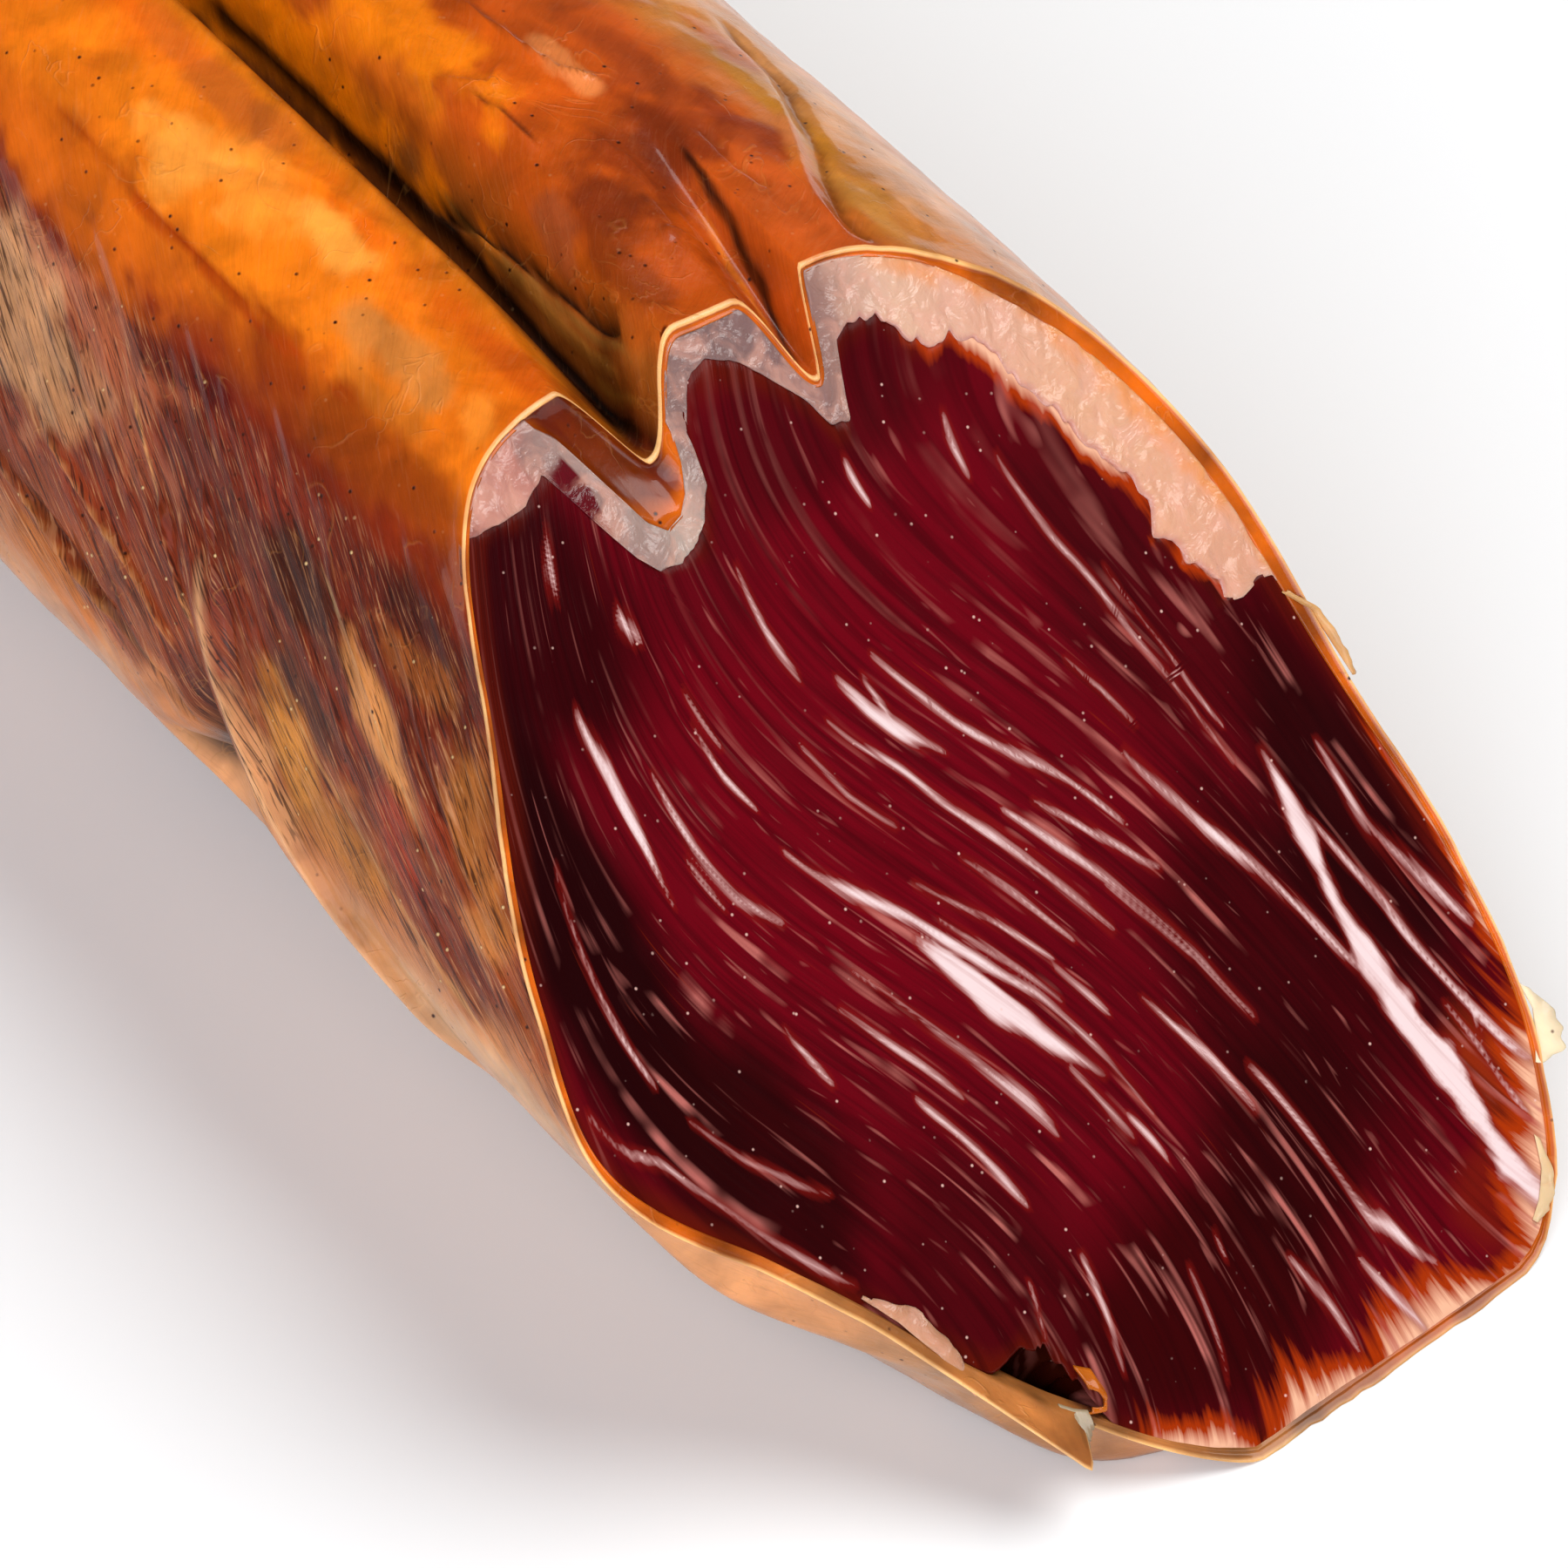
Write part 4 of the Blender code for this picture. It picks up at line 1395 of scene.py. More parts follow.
    def wall(self) -> tuple[np.ndarray, np.ndarray, np.ndarray, np.ndarray]:
        """Work out the sleeve's points from the round end over the rim and back inside.

        Returns:
            The points, how far each is behind the cut, its angle, and its share of the
            way over the rim: 0 outside, 1 at the inner wall.
        """
        form, angle = self.form, self.angles()
        ray = form.rays(angle)
        length = form.lengths(angle)
        along = self.ring_shares()[:, None]
        from_end, behind = along * length, (1.0 - along) * length
        every = np.broadcast_to(angle, behind.shape)
        relief = self.relief(every, behind) * ease(from_end / (20 * MM))
        relief *= 1.0 - 0.75 * (1.0 - ease(behind / (2.5 * MM)))
        radius = form.radius(every, behind, from_end) + relief
        radius = np.maximum(form.on_floor(radius, ray), 0.0)
        rows = list(form.place(ray * radius[..., None], along, 0.0))
        behinds, rims = list(behind), [0.0] * len(behind)
        for edge, forward, share in self.rim(angle, radius[-1]):
            edge = form.on_floor(edge, ray, 0.05 * MM)
            rows.append(form.place(ray * edge[:, None], 1.0, forward))
            behinds.append(-forward)
            rims.append(share)
        inner = np.minimum(read_round(angle, self.outlines.casing_inner), radius[-1] - 0.3 * MM)
        for back in self.inner_rows:
            share = form.share_of(back * MM)
            kept = form.on_floor(form.ring(angle, share), ray)
            kept = kept * inner / radius[-1] - 0.3 * MM - form.fold_room(angle, back * MM)
            rows.append(form.place(ray * np.maximum(kept, 0.1 * MM)[:, None], share, 0.0))
            behinds.append(np.full(len(angle), back * MM))
            rims.append(1.0)
        rows.append(form.place(np.zeros((len(angle), 2)), 0.02, 0.0))
        behinds.append(np.full(len(angle), form.mean_length))
        rims.append(1.0)
        points, behind = np.stack(rows), np.stack(behinds)
        rim = np.broadcast_to(np.array(rims)[:, None], behind.shape)
        return points, behind, np.broadcast_to(angle, behind.shape), rim

    def colours(
        self, points: np.ndarray, behind: np.ndarray, angle: np.ndarray, rim: np.ndarray
    ) -> np.ndarray:
        """Paint the casing.

        Args:
            points: places in the part's frame.
            behind: metres behind the cut.
            angle: degrees round the heart.
            rim: share of the way over the rim.

        Returns:
            A linear colour for each place.
        """
        in_mm = behind / MM
        ragged = soft_noise(points / MM, 3.2, seed=5, octaves=4)
        drift = soft_noise(points / MM, 11.0, seed=6, octaves=2)
        shifted = angle + 2.2 * ragged * ease(np.abs(angle - 104) / 12)
        base = read_bands(shifted % 360.0, (*self.base, (360.0, self.base[0][1])))
        base = paint(base, self.dabs, in_mm + 1.2 * drift, angle + 1.0 * drift, ragged)
        arc = np.radians(angle) * self.mean_radius
        for stroke, code in self.strokes:
            base = lay(base, stroke.rise(in_mm, arc + 0.25 * ragged, self.mean_radius), code)
        # Unseen parts: slow change between the amber, the tan and the brown of what shows
        tone = np.clip(0.5 + 0.9 * soft_noise(points / MM, 26.0, seed=8, octaves=3), 0.0, 1.0)
        far_tone = lay(np.array(linear_colour(self.far_brown)), tone, self.far_amber)
        base = lay(base, ease((in_mm - 70) / 25) * 0.55, far_tone)
        # The cut edge: a pale line outside, the lip's pale edge with a painted highlight, orange membrane
        # within, dark in the notch
        at_cut = in_mm < 5
        low = ease((angle - 190) / 14) * ease((300 - angle) / 30)
        orange = lay(np.array(linear_colour(self.membrane)), 0.8 * low, self.low_membrane)
        orange = orange * np.clip(0.85 + 0.5 * ragged, 0.45, 1.2)[..., None]
        base = lay(base, ease((rim - 0.05) / 0.2) * at_cut, orange)
        line = ease(rim / 0.05) * (1.0 - ease((rim - 0.18) / 0.14)) * (0.8 + 0.5 * ragged)
        base = lay(base, np.clip(line, 0.0, 1.0) * 0.85, self.lip_highlight)
        turn = np.abs(turn_between(angle, self.notch_angle)) / self.notch_width
        deep = ease(2.4 * (1.0 - turn)) * ease((rim - 0.22) / 0.1) * (1.0 - ease((rim - 0.86) / 0.08))
        deep = deep * np.clip(0.9 + 0.35 * ragged, 0.5, 1.0)
        return lay(base, deep * at_cut, self.notch)

    def build(self, material: bpy.types.Material) -> bpy.types.Object:
        """Build the casing and dress it.

        Args:
            material: the dried casing.

        Returns:
            The finished piece.
        """
        points, behind, angle, rim = self.wall()
        piece, row, column = add_sheet("casing_skin", *points.shape[:2])
        bend_sheet(piece, points[row, column])
        colours = self.colours(points, behind, angle, rim)
        set_value(piece, Attribute.PAINT, colours[row, column])
        fibre = ease((angle - 137) / 5) * ease((179 - angle) / 5) * ease((105 - behind / MM) / 30)
        fibre = (0.10 + 0.90 * fibre) * (rim == 0.0)
        set_value(piece, Attribute.FIBRE, fibre[row, column])
        skin = np.stack((behind, np.radians(angle) * self.mean_radius * MM), -1)
        set_map(piece, Attribute.SKIN_MAP, skin[row, column])
        close_sheet(piece)
        dress(piece, material, Slot.CASING, "casing")
        return piece


def inside_streak(width: np.ndarray, away: np.ndarray) -> np.ndarray:
    """How far inside a streak of marbling a place is.

    Args:
        width: half width of the streak in millimetres.
        away: distance from its line in millimetres.

    Returns:
        1 and more well inside the streak, 0 at its edge and less outside it.
    """
    return np.minimum((width - away) / STREAK_EDGE, STREAK_CORE)


@dataclass(frozen=True)
class Vein:
    """A streak of marbling that follows the fibres, in millimetres.

    It runs from one place along the fibres to another, and its line across them goes
    evenly through the given places. Its width is the half width at its middle.
    """

    start: float
    end: float
    line: tuple[float, ...]
    width: float
    least_width: float = 0.14
    fade_beyond: float = 3.0  # for each millimetre beyond its ends

    def depth(
        self,
        along: np.ndarray,
        across: np.ndarray,
        spread: np.ndarray,
        wander: np.ndarray,
        swell: np.ndarray,
    ) -> np.ndarray:
        """How far inside the streak each place is.

        Args:
            along: place along the fibres.
            across: place across them.
            spread: how much across changes for each millimetre.
            wander: noise that moves the streak's line.
            swell: noise that widens and narrows it.

        Returns:
            1 and more well inside the streak, 0 at its edge and less outside it.
        """
        share = (along - self.start) / (self.end - self.start)
        line = np.interp(share, np.linspace(0.0, 1.0, len(self.line)), self.line)
        away = np.abs(across - line + 0.3 * wander) / spread
        inside = np.clip(share, 0.0, 1.0)
        taper = (4.0 * inside * (1.0 - inside)) ** 0.6
        width = 0.8 * self.width * taper * np.clip(0.9 + 0.6 * swell, 0.3, 1.5) + self.least_width
        beyond = np.maximum(-share, share - 1.0) * abs(self.end - self.start)
        return inside_streak(width, away) - self.fade_beyond * np.maximum(beyond, 0.0)


@dataclass(frozen=True)
class Lean:
    """The lean meat with its marbled cut face."""

    form: LoinForm
    outlines: CutOutlines
    columns: int = 700
    face_rows: int = 126
    hollow_angle: float = 238.0
    hollow_depth: float = 2.4 * MM
    hollow_width: float = 11.0
    # Millimetres behind the cut of the rows along the side
    side_rows: tuple[float, ...] = (
        *(0.4, 2.0, 6.0, 14.0, 22.0, 32.0, 60.0),
        *(78.0, 92.0, 140.0, 175.0, 205.0, 225.0, 238.0),
    )
    unit: float = 30.0  # millimetres that the flow's terms are worked out in
    # Weights of y**i * z**j whose sum is constant along a fibre
    flow: tuple[tuple[int, int, float], ...] = (
        (1, 0, 0.512),
        (0, 1, 0.442),
        (2, 0, -0.020),
        (1, 1, -0.148),
        (0, 2, 0.042),
        (3, 0, -0.028),
        (2, 1, -0.272),
        (1, 2, -0.024),
        (0, 3, -0.256),
        (4, 0, 0.018),
        (3, 1, 0.109),
        (2, 2, -0.138),
        (1, 3, 0.201),
        (0, 4, -0.042),
    )
    run: tuple[float, float] = (0.62, -0.78)  # mean direction of the fibres, (y, z)
    veins: tuple[Vein, ...] = (
        # Upper left and under the creases
        Vein(-32.7, -31.4, (-8.0, -7.7), 0.30),
        Vein(-27.4, -25.4, (-3.8, -2.9), 0.22),
        Vein(-19.7, -14.4, (3.8, 3.3, 3.1), 0.22),
        Vein(-22.2, -19.1, (-1.7, -1.8), 0.16),
        Vein(-21.3, -16.2, (-2.4, -2.9, -2.8), 0.22),
        Vein(-29.2, -20.9, (-8.9, -8.3, -8.5, -9.2), 0.66),
        Vein(-23.5, -13.5, (-5.7, -6.2, -6.4, -6.1), 0.38),
        Vein(-20.5, -17.5, (-6.9, -7.2), 0.26),
        # Middle
        Vein(-12.1, -4.1, (4.2, 4.1, 4.3, 4.4), 0.46),
        Vein(-10.4, -7.4, (4.9, 4.3), 0.24),
        Vein(-9.9, 8.7, (5.8, 5.9, 6.4, 6.6), 0.44),
        Vein(-13.8, -6.7, (0.9, 0.5, 0.8), 0.16),
        Vein(-12.3, 8.9, (2.6, 2.7, 2.9, 2.8), 0.26),
        Vein(-7.0, -4.8, (12.3, 12.1), 0.26),
        Vein(-13.3, -11.2, (9.5, 9.5), 0.30),
        Vein(0.3, 19.3, (3.7, 4.1, 4.5, 4.4), 0.44),
        Vein(8.0, 14.5, (4.0, 4.3), 0.34),
        Vein(2.2, 11.5, (4.9, 5.4, 5.9), 0.20),
        Vein(8.0, 26.7, (9.0, 9.0, 9.5, 10.1), 0.44),
        Vein(-2.1, 6.3, (1.3, 1.4, 1.4), 0.20),
        Vein(-5.1, 5.0, (-0.9, -0.3, 0.1), 0.26),
        Vein(-14.1, 13.2, (-3.4, -2.4, -1.9, -2.3), 0.50),
        Vein(-3.0, 6.0, (-1.6, -1.4, -1.3), 0.22),
        Vein(-4.6, 9.6, (-3.2, -3.4, -3.3, -2.8), 0.98),
        Vein(7.0, 12.0, (-3.6, -3.9), 0.40),
        # Lower left
        Vein(-8.4, 6.8, (-6.1, -6.2, -6.3, -6.4), 0.46),
        Vein(-3.2, 5.3, (-9.0, -9.3, -9.3), 0.38),
        Vein(-9.0, 0.0, (-7.6, -7.9, -7.9), 0.22),
        Vein(11.4, 14.4, (-3.4, -3.4), 0.36),
        Vein(5.1, 9.3, (-0.2, -0.2), 0.30),
        Vein(11.3, 20.1, (1.4, 1.5, 1.4, 1.3), 0.26),
        Vein(19.0, 33.9, (2.6, 2.9, 3.1, 4.3), 0.46),
        Vein(18.2, 19.3, (-3.3, -3.5), 0.20),
        Vein(16.8, 20.4, (-5.4, -5.7, -6.1), 0.18),
        Vein(-29.1, -20.6, (-13.9, -14.3, -14.7, -15.0), 0.28),
        Vein(-24.8, -5.5, (-17.0, -16.3, -15.7, -15.3), 0.18),
        Vein(-18.0, -8.0, (-14.9, -14.4, -14.0), 0.26),
        Vein(-12.6, -8.8, (-9.7, -10.5), 0.22),
        Vein(6.0, 7.6, (-11.5, -12.0), 0.20),
        Vein(9.3, 13.1, (-9.1, -9.8), 0.22),
        Vein(23.6, 29.2, (-1.1, -0.6), 0.26),
        Vein(28.4, 33.8, (1.6, 2.5), 0.24),
        # Upper right
        Vein(-3.1, 15.8, (12.9, 12.5, 12.0, 11.6), 0.34),
        Vein(5.1, 14.7, (12.9, 12.6, 12.3), 0.22),
        Vein(3.2, 8.6, (10.1, 10.1, 9.9), 0.20),
        # Beyond the seam to the side muscle
        Vein(21.2, 33.7, (14.8, 14.6, 14.7, 15.4), 0.42),
        Vein(21.2, 39.1, (12.6, 13.1, 12.8, 13.0), 0.42),
        Vein(32.3, 39.2, (11.9, 11.6, 10.8), 0.38),
        Vein(33.5, 35.2, (13.2, 12.2), 0.26),
    )
    # Seam to the side muscle: places (y, z) and its half width there
    seam: tuple[tuple[float, float, float], ...] = (
        (27.0, -1.2, 0.25),
        (27.0, -5.9, 0.8),
        (26.6, -9.5, 0.6),
        (27.0, -12.6, 0.9),
        (27.6, -15.4, 1.3),
        (28.6, -18.5, 1.2),
        (29.3, -22.0, 0.9),
        (30.1, -25.0, 1.2),
        (31.8, -28.0, 0.8),
    )
    base: str = "#5c020e"
    dabs: tuple[Dab, ...] = (
        Dab(-8, 8, 16, 12, "#660210", 0.8),
        Dab(4, 14, 13, 9.0, "#640210", 0.7),
        Dab(-31, 10, 6.0, 17, "#150001", 0.95),
        Dab(-23, 23, 8.0, 8.0, "#220002", 0.85),
        Dab(-27, -6, 7.0, 9.0, "#220102", 0.9),
        Dab(-15, -15, 11, 7.0, "#3a0206", 0.75),
        Dab(2, -22, 15, 7.0, "#260101", 0.85),
        Dab(20, -12, 11, 11, "#2a0103", 0.8),
        Dab(31, -6, 6.5, 15, "#1c0102", 0.9),
        Dab(24, 10, 7.0, 10, "#400308", 0.75),
        Dab(31.5, -22, 2.6, 5.0, "#86260a", 0.85),
        Dab(28, -26, 4.0, 2.4, "#6c1406", 0.7),
        Dab(13, -18, 8.0, 6.0, "#240102", 0.8),
        Dab(6, 25, 13, 4.0, "#440208", 0.75),
        Dab(-8, 22, 5.0, 5.0, "#52030d", 0.6),
    )
    edge_colour: str = "#571004"
    # near black colour for the walls by the hollow: painted shade
    hollow: str = "#1c0502"
    # Where the meat goes over into a streaky pale edge: angle, half width, depth in mm
    pale_edges: tuple[tuple[float, float, float], ...] = (
        (322.0, 17.0, 5.0),
        (302.0, 16.0, 4.4),
        (283.0, 15.0, 3.4),
        (262.0, 14.0, 2.8),
        (345.0, 14.0, 2.2),
        (15.0, 6.0, 1.4),
        (40.0, 26.0, 1.4),
    )

    def grain(self, section: np.ndarray) -> tuple[np.ndarray, np.ndarray, np.ndarray]:
        """Read the fibres' flow.

        Args:
            section: points (y, z) from the heart in millimetres.

        Returns:
            Places along the fibres and across them, and how much the place across
            changes for each millimetre.
        """
        y, z = section[..., 0] / self.unit, section[..., 1] / self.unit
        across, by_y, by_z = np.zeros_like(y), np.zeros_like(y), np.zeros_like(y)
        for i, j, weight in self.flow:
            across += weight * self.unit * y**i * z**j
            by_y += weight * i * y ** max(i - 1, 0) * z**j
            by_z += weight * j * y**i * z ** max(j - 1, 0)
        along = section[..., 0] * self.run[0] + section[..., 1] * self.run[1]
        return along, across, np.maximum(np.hypot(by_y, by_z), 0.35)

    def build(self, material: bpy.types.Material) -> bpy.types.Object:
        """Build the lean meat and dress it.

        Args:
            material: the cut lean.

        Returns:
            The finished piece.
        """
        form, outlines = self.form, self.outlines
        angle = np.linspace(0.0, 360.0, self.columns + 1)
        ray = form.rays(angle)
        edge = read_round(angle, outlines.fat_inner, spread=0.5) + 0.12 * MM
        side = np.clip(np.abs(turn_between(angle, self.hollow_angle)) / self.hollow_width, 0.0, 1.0)
        torn = 1.0 + 0.35 * soft_noise(np.stack((angle, angle * 0), -1), 2.6, seed=14, octaves=3)
        hollow = self.hollow_depth * torn * ease(1.4 * (1.0 - side))
        outer = read_round(angle, outlines.outer())
        rows, shares, inside = [], [], []
        for share in np.linspace(0.0, 1.0, self.face_rows) ** 0.92:
            rows.append(ray * ((edge - hollow) * share)[:, None])
            shares.append(1.0)
            inside.append((edge - hollow) * (1.0 - share))
        for back in self.side_rows:
            share = form.share_of(back * MM)
            radius = form.on_floor(form.ring(angle, share), ray)
            near = 1.0 - ease(back / 8.0)
            radius = radius * (edge / outer) - hollow * near - 0.15 * MM
            radius -= form.fold_room(angle, back * MM)
            rows.append(ray * np.maximum(radius, 0.1 * MM)[:, None])
            shares.append(share)
            inside.append(np.zeros(len(angle)))
        rows.append(np.zeros((len(angle), 2)))
        shares.append(0.03)
        inside.append(np.zeros(len(angle)))
        section, share, inside = np.stack(rows), np.array(shares)[:, None], np.stack(inside) / MM
        in_mm = section / MM
        along, across, spread = self.grain(in_mm)
        grainy = np.stack((along * 0.30, across), -1)
        wander = soft_noise(grainy, 2.4, seed=11, octaves=2)
        swell = soft_noise(grainy * (1.2, 1.0), 1.6, seed=16, octaves=2)
        marbling = np.full(along.shape, -4.0)
        for vein in self.veins:
            marbling = np.maximum(marbling, vein.depth(along, across, spread, wander, swell))
        seam = np.array(self.seam)
        away, _, reached = to_line(in_mm, seam[:, :2])
        uneven = 1.0 + 0.35 * soft_noise(in_mm, 2.2, seed=17, octaves=2)
        width = np.interp(reached, lengths_along(seam[:, :2]), seam[:, 2]) * uneven
        marbling = np.maximum(marbling, inside_streak(1.1 * width, away))
        pale = np.full(inside.shape, -1.0)
        for middle, width, deep in self.pale_edges:
            near = ease(1.3 * (1.0 - np.abs(turn_between(angle, middle)) / width))
            streaky = np.clip(1.0 - inside / (deep * (1.0 + 0.6 * wander)), 0.0, 1.0)
            pale = np.maximum(pale, 2.0 * near * streaky - 1.0)
        rise = 0.09 * soft_noise(in_mm, 8.0, seed=12, octaves=3) + 0.05 * np.clip(marbling, 0.0, 0.6)
        rise += 0.035 * soft_noise(grainy, 0.9, seed=15, octaves=2)
        rise -= 0.16 * (1.0 - ease(inside / 0.7))
        points = form.place(section, share, np.where(share == 1.0, rise * MM, 0.0))
        piece, row, column = add_sheet("lean_meat_cut", *points.shape[:2])
        bend_sheet(piece, points[row, column])
        base = np.broadcast_to(np.array(linear_colour(self.base)), (*along.shape, 3))
        frayed = soft_noise(in_mm, 7.0, seed=13, octaves=4)
        colours = paint(base, self.dabs, in_mm[..., 0], in_mm[..., 1], 0.3 * frayed)
        colours = lay(colours, 0.85 * (1.0 - ease(inside / 1.9 + 0.4 * wander)), self.edge_colour)
        # The side walls by the hollow at the lower left go near black: painted shade in the hollow
        colours = lay(colours, 0.9 * (ease(3.0 * (1.0 - side)) * (share < 1.0)), self.hollow)
        set_value(piece, Attribute.PAINT, colours[row, column])
        set_value(piece, Attribute.MARBLING, marbling[row, column])
        set_value(piece, Attribute.RIM, pale[row, column])
        grain = np.stack((along, across), -1) * MM
        set_map(piece, Attribute.GRAIN_MAP, grain[row, column])
        close_sheet(piece)
        dress(piece, material, Slot.LEAN, "lean_meat")
        return piece


@dataclass(frozen=True)
class FatLayer:
    """The layer of fat along the top, with its face at the cut."""

    form: LoinForm
    outlines: CutOutlines
    columns: int = 640
    face_rows: int = 46
    rise: float = 0.20 * MM
    side_rows: tuple[float, ...] = (0.3, 1.5, 5.0, 15.0, 40.0, 80.0, 120.0, 160.0, 195.0, 213.0)
    lean_tip: str = "#5c0612"
    orange_edge: str = "#e08a48"
    pink_edge: str = "#b56e6e"
    base: tuple[tuple[float, str], ...] = (
        (10, "#cb937a"),
        (20, "#d49d7f"),
        (34, "#d6a181"),
        (48, "#d09d85"),
        (60, "#d2a88f"),
        (68, "#b48c7c"),
        (71, "#967167"),
        (76, "#83625e"),
        (88, "#7c605d"),
        (98, "#866863"),
        (104, "#9f847b"),
        (110, "#b19a8e"),
        (114, "#a0877e"),
        (119, "#906d66"),
        (121, "#b3786c"),
        (126, "#bc8475"),
        (131, "#91534c"),
    )

    def build(self, material: bpy.types.Material) -> bpy.types.Object:
        """Build the fat layer and dress it.

        Args:
            material: the cut fat.

        Returns:
            The finished piece.
        """
        form, outlines = self.form, self.outlines
        first, last = outlines.fat_range
        angle = np.linspace(first, last, self.columns)
        ray = form.rays(angle)
        upper = read_round(angle, outlines.casing_inner, spread=0.25) + 0.08 * MM
        lower = np.minimum(read_round(angle, outlines.fat_inner), upper - 0.1 * MM)
        outer = read_round(angle, outlines.outer())
        rows, shares, forwards, depths = [], [], [], []

        def add_side(edge: np.ndarray, backs: tuple[float, ...], depth: float) -> None:
            """Add the rows of one side of the layer."""
            for back in backs:
                share = form.share_of(back * MM)
                radius = form.ring(angle, share) * edge / outer
                rows.append(ray * (radius - 0.1 * MM - form.fold_room(angle, back * MM))[:, None])
                shares.append(share)
                forwards.append(np.zeros(len(angle)))
                depths.append(np.full(len(angle), depth))

        add_side(upper, self.side_rows[::-1], 0.0)
        for share in np.linspace(0.0, 1.0, self.face_rows):
            section = ray * (upper + (lower - upper) * share)[:, None]
            from_edge = np.minimum(share + 0.05, 1.0 - share) * (upper - lower)
            rounded = np.sqrt(np.clip(from_edge / (0.30 * MM), 0.0, 1.0))
            lumps = soft_noise(section / MM, 1.7, seed=21, octaves=3)
            forwards.append(self.rise * rounded * (1.0 + 1.3 * lumps) - 0.03 * MM)
            rows.append(section)
            shares.append(1.0)
            depths.append(np.full(len(angle), share))
        add_side(lower, self.side_rows, 1.0)
        section, along, forward = np.stack(rows), np.array(shares)[:, None], np.stack(forwards)
        points = form.place(section, along, forward)
        points = np.concatenate((points, points[:1]))
        section = np.concatenate((section, section[:1]))
        depth = np.concatenate((np.stack(depths), np.zeros((1, len(angle)))))
        piece, row, column = add_sheet("fat_layer_cut", *points.shape[:2])
        bend_sheet(piece, points[row, column])
        colours = self.colours(section / MM, np.broadcast_to(angle, depth.shape), depth)
        set_value(piece, Attribute.PAINT, colours[row, column])
        close_sheet(piece, fill_ends=True)
        dress(piece, material, Slot.FAT, "fat_cap")
        return piece

    def colours(self, in_mm: np.ndarray, angle: np.ndarray, depth: np.ndarray) -> np.ndarray:
        """Paint the fat.

        Args:
            in_mm: points (y, z) from the heart.
            angle: degrees round the heart.
            depth: share of the way from the casing to the lean.

        Returns:
            A linear colour for each place.
        """
        ragged = soft_noise(in_mm, 2.5, seed=22, octaves=3)
        colours = read_bands(angle + 1.6 * ragged, self.base)
        near = 0.75 * (1.0 - ease(depth / 0.30 + 0.5 * ragged)) * ease((66 - angle) / 10)
        colours = lay(colours, near, self.orange_edge)
        low = 0.6 * ease((depth - 0.86) / 0.14) * ease((72 - angle) / 4)
        colours = lay(colours, low, self.pink_edge)
        # The tip of the lean lobe between the lining of the crease and the left wedge
        radius = np.hypot(in_mm[..., 0], in_mm[..., 1])
        left_of = ease((angle - 116.5 - np.maximum(30.8 - radius, 0.0) * 1.2) / 0.35)
        tip = left_of * ease((radius - 28.2) / 0.5) * ease((33.4 - radius + 0.12 * (angle - 116)) / 0.5)
        return lay(colours, tip * ease((119.9 - angle) / 0.1 + 1.0), self.lean_tip)


@dataclass(frozen=True)
class Scrap:
    """A torn scrap that stands out from the cut edge.

    Both edges are given as places (degrees, millimetres from the heart, millimetres
    forward of the cut); the near one lies on the loin and the far one is free.
    """

    name: str
    near: tuple[tuple[float, float, float], ...]
    far: tuple[tuple[float, float, float], ...]
    colour: str
    bulge: float = 0.3  # millimetres forward in its middle
    thickness: float = 0.16 * MM
    rows: int = 36
    columns: int = 14

    def points(self, form: LoinForm) -> tuple[np.ndarray, np.ndarray]:
        """Work out the scrap's points.

        Args:
            form: the loin that it sits on.

        Returns:
            The points, and the share of the way from the near to the far edge.
        """
        along = np.linspace(0.0, 1.0, self.rows)
        edges = []
        for edge in (np.array(self.near), np.array(self.far)):
            knots = np.linspace(0.0, 1.0, len(edge))
            edges.append(np.stack([np.interp(along, knots, edge[:, part]) for part in range(3)], -1))
        share = np.linspace(0.0, 1.0, self.columns)[None, :, None]
        places = np.stack((along * 14.0, along * 0.0 + len(self.name)), -1)
        torn = 1.0 + 0.16 * soft_noise(places, 2.0, seed=51, octaves=3)[:, None, None]
        place = edges[0][:, None] + (edges[1] - edges[0])[:, None] * share * torn
        ripple = soft_noise(place[..., :2] * (0.6, 1.0), 1.2, seed=52, octaves=2)
        share = share[..., 0]
        forward = place[..., 2] + self.bulge * np.sin(np.pi * share) + 0.25 * ripple * share
        section = form.rays(place[..., 0]) * place[..., 1, None] * MM
        return form.place(section, 1.0, forward * MM), np.broadcast_to(share, forward.shape)

    def build(self, form: LoinForm, material: bpy.types.Material, slot: Slot) -> bpy.types.Object:
        """Build the scrap and dress it.

        Args:
            form: the loin that it sits on.
            material: what it is made of.
            slot: the record's slot for it.

        Returns:
            The finished piece.
        """
        points, share = self.points(form)
        piece, row, column = add_sheet(self.name, *points.shape[:2])
        bend_sheet(piece, points[row, column])
        shade = (1.0 - 0.25 * share)[..., None] * np.array(linear_colour(self.colour))
        set_value(piece, Attribute.PAINT, shade[row, column])
        set_value(piece, Attribute.FIBRE, np.zeros(len(row)))
        set_map(piece, Attribute.SKIN_MAP, points[row, column][:, :2])
        solid = piece.modifiers.new("thickness", "SOLIDIFY")
        solid.thickness, solid.offset = self.thickness, 0.0
        bpy.ops.object.modifier_apply(modifier=solid.name)
        close_sheet(piece)
        dress(piece, material, slot)
        return piece


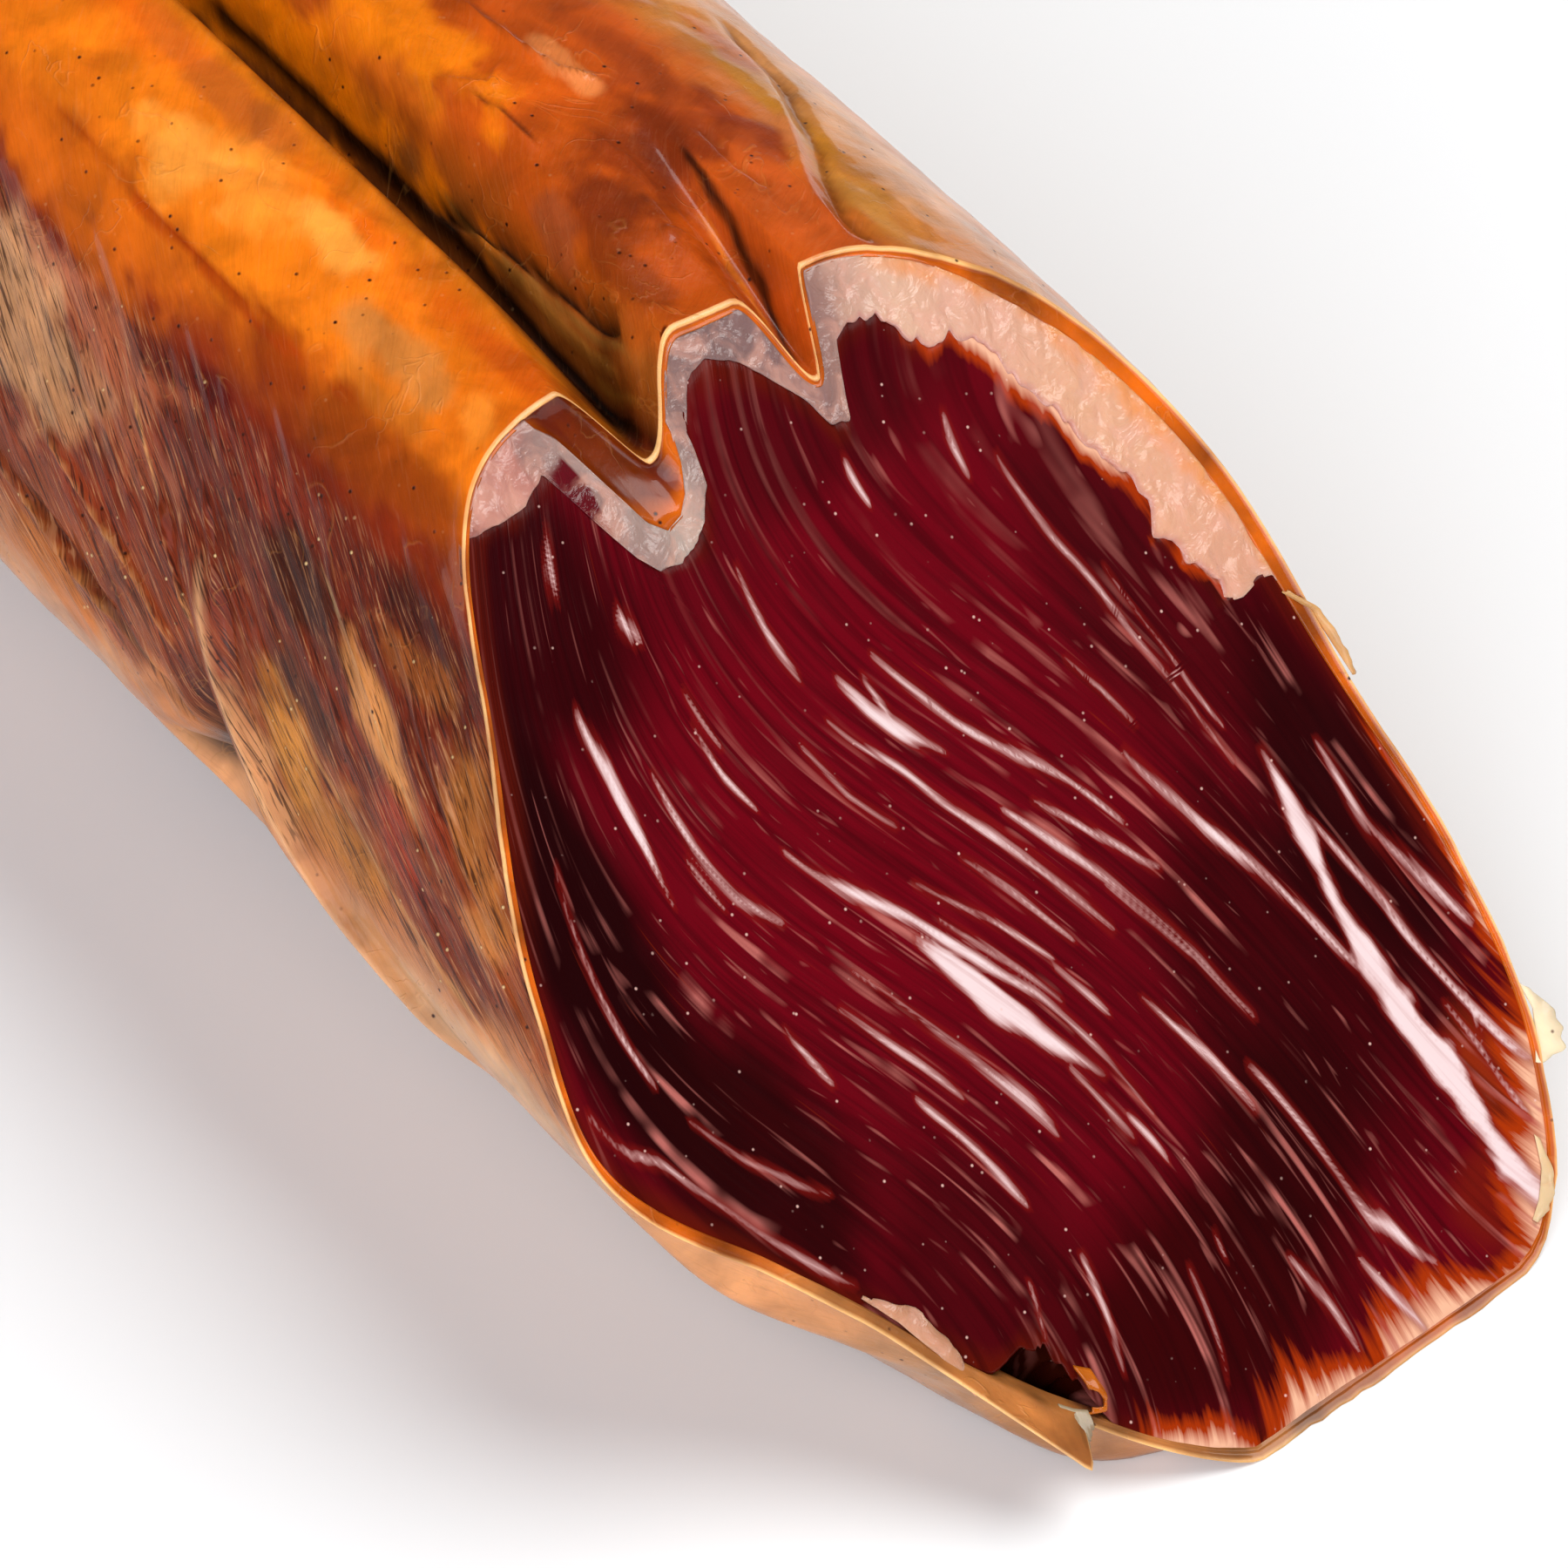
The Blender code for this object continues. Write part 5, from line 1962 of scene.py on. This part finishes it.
@dataclass(frozen=True)
class LooseScraps:
    """Torn membrane along the right edge, and what stands in the hollow at the lower left."""

    form: LoinForm
    films: tuple[Scrap, ...] = (
        Scrap(
            "edge_film_upper",
            ((8.1, 34.9, 0.1), (5.5, 36.2, 0.1), (2.3, 36.5, 0.1), (-0.7, 36.8, 0.1)),
            ((8.1, 35.3, 0.4), (5.5, 36.8, 0.7), (2.3, 37.1, 0.9), (-0.7, 37.2, 0.3)),
            "#dca468",
            bulge=0.15,
        ),
        Scrap(
            "edge_film_flap",
            ((-25.2, 41.6, 0.1), (-27.0, 42.4, 0.1), (-29.0, 42.2, 0.1), (-31.0, 41.9, 0.1)),
            ((-25.6, 42.4, 0.2), (-26.6, 43.8, 0.6), (-28.6, 44.3, 1.0), (-30.6, 42.7, 0.3)),
            "#f0d8b4",
            bulge=0.2,
        ),
        Scrap(
            "edge_film_lower",
            ((-36.6, 41.1, 0.1), (-39.0, 41.5, 0.1), (-41.5, 41.2, 0.1), (-43.4, 40.7, 0.1)),
            ((-36.8, 41.5, 0.3), (-39.0, 42.2, 0.5), (-41.4, 41.8, 0.5), (-43.3, 41.0, 0.2)),
            "#e4c094",
            bulge=0.15,
        ),
        Scrap(
            "hollow_tab",
            ((239.0, 26.0, -0.2), (241.2, 26.0, 0.0), (243.6, 25.9, 0.1)),
            ((239.1, 27.2, 1.0), (241.2, 27.4, 1.3), (243.2, 26.7, 1.0)),
            "#a89478",
        ),
        Scrap(
            "hollow_curl",
            (
                *((242.6, 23.7, 0.0), (245.6, 23.7, 0.1), (247.4, 24.7, 0.1)),
                *((246.6, 25.7, 0.1), (243.4, 26.1, 0.0)),
            ),
            (
                *((243.6, 24.4, 1.1), (245.0, 24.5, 1.3), (245.9, 24.9, 1.3)),
                *((245.4, 25.2, 1.2), (243.8, 25.4, 0.9)),
            ),
            "#c8660e",
        ),
    )
    wedge: Scrap = Scrap(
        "fat_wedge_lower_left",
        ((207.5, 27.0, 0.0), (213.0, 26.5, 0.15), (219.3, 26.5, 0.2), (225.2, 27.4, 0.25)),
        ((208.6, 26.6, 0.1), (215.0, 25.0, 0.15), (220.8, 25.2, 0.2), (225.2, 27.0, 0.2)),
        "#c88c6c",
        bulge=0.2,
        thickness=0.3 * MM,
    )

    def build(self, membrane: bpy.types.Material, fat: bpy.types.Material) -> None:
        """Build all scraps."""
        for film in self.films:
            film.build(self.form, membrane, Slot.CASING)
        self.wedge.build(self.form, fat, Slot.FAT)


# Studio


@dataclass(frozen=True)
class SoftLight:
    """An even soft light from far away; its width in degrees."""

    name: str
    direction: tuple[float, float, float]
    width: float
    strength: float
    colour: str = "#ffffff"

    def build(self) -> None:
        """Add the light, shining from its direction."""
        data = bpy.data.lights.new(self.name, "SUN")
        data.angle, data.energy = math.radians(self.width), self.strength
        data.color = linear_colour(self.colour)
        light = bpy.data.objects.new(self.name, data)
        light.rotation_mode = "QUATERNION"
        light.rotation_quaternion = Vector(self.direction).to_track_quat("Z", "Y")
        bpy.context.scene.collection.objects.link(light)


@dataclass(frozen=True)
class Studio:
    """Plain pale floor, soft lights and the camera."""

    floor_radius: float = 14.0
    floor_colour: str = "#f3f5f6"
    room_colour: str = "#f6f7f9"
    target: tuple[float, float, float] = (0.09385, -0.0102, 0.0404)
    camera_azimuth: float = 53.44
    camera_elevation: float = 46.0
    camera_distance: float = 1.1
    pixels_per_metre: float = 15600.0
    frame_pixels: int = 1800
    sensor: float = 36.0
    lights: tuple[SoftLight, ...] = (
        SoftLight("back_softbox", (0.11, 0.44, 0.89), 46.0, 2.45, "#fffdfa"),
        SoftLight("front_softbox", (0.75, -0.60, 0.50), 50.0, 1.55, "#fbfcff"),
        SoftLight("left_softbox", (0.22, -0.80, 0.56), 60.0, 1.3, "#eff4ff"),
    )

    def build(self) -> None:
        """Add floor, lights, world and camera."""
        bpy.ops.object.select_all(action="DESELECT")
        bpy.ops.mesh.primitive_circle_add(vertices=96, radius=self.floor_radius, fill_type="NGON")
        floor = bpy.context.object
        floor.name = "floor"
        material, tree = new_material("matt_white_paper")
        finish = {"Base Color": rgba(self.floor_colour), "Roughness": 0.9, "Specular IOR Level": 0.1}
        add_surface(tree, finish)
        floor.data.materials.append(material)
        for light in self.lights:
            light.build()
        self.build_world()
        self.build_camera()

    def build_world(self) -> None:
        """Surround the scene with a dim grey room."""
        world = bpy.data.worlds.new("studio_room")
        bpy.context.scene.world = world
        world.use_nodes = True
        tree = world.node_tree
        tree.nodes.clear()
        direction = add_node(tree, "ShaderNodeTexCoord", output="Generated")
        height = add_node(tree, "ShaderNodeSeparateXYZ", {0: direction}, output="X")
        share = remap(tree, height, -0.2, 0.5, 0.05, 0.16)
        light = {"Color": rgba(self.room_colour), "Strength": share}
        background = add_node(tree, "ShaderNodeBackground", light)
        add_node(tree, "ShaderNodeOutputWorld", {"Surface": background})

    def build_camera(self) -> None:
        """Add the camera at the photograph's viewing angle."""
        target = Vector(self.target)
        azimuth, elevation = math.radians(self.camera_azimuth), math.radians(self.camera_elevation)
        level = math.cos(elevation)
        back = Vector((math.sin(azimuth) * level, -math.cos(azimuth) * level, math.sin(elevation)))
        data = bpy.data.cameras.new("view")
        data.sensor_width = self.sensor
        data.lens = self.pixels_per_metre * self.camera_distance * self.sensor / self.frame_pixels
        camera = bpy.data.objects.new("view", data)
        camera.location = target + back * self.camera_distance
        camera.rotation_mode = "QUATERNION"
        camera.rotation_quaternion = back.to_track_quat("Z", "Y")
        bpy.context.scene.collection.objects.link(camera)
        bpy.context.scene.camera = camera
        bpy.context.scene.view_settings.view_transform = "Standard"


def main() -> None:
    """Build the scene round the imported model."""
    logging.basicConfig(level=logging.INFO, format="%(name)s: %(message)s")
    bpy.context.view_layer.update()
    Studio().build()
    form = LoinForm()
    outlines = CutOutlines(form)
    membrane, fat = DriedCasing().material(), CutFat().material()
    Casing(form, outlines).build(membrane)
    FatLayer(form, outlines).build(fat)
    LooseScraps(form).build(membrane, fat)
    Lean(form, outlines).build(CutLean().material())


if __name__ == "__main__":
    main()
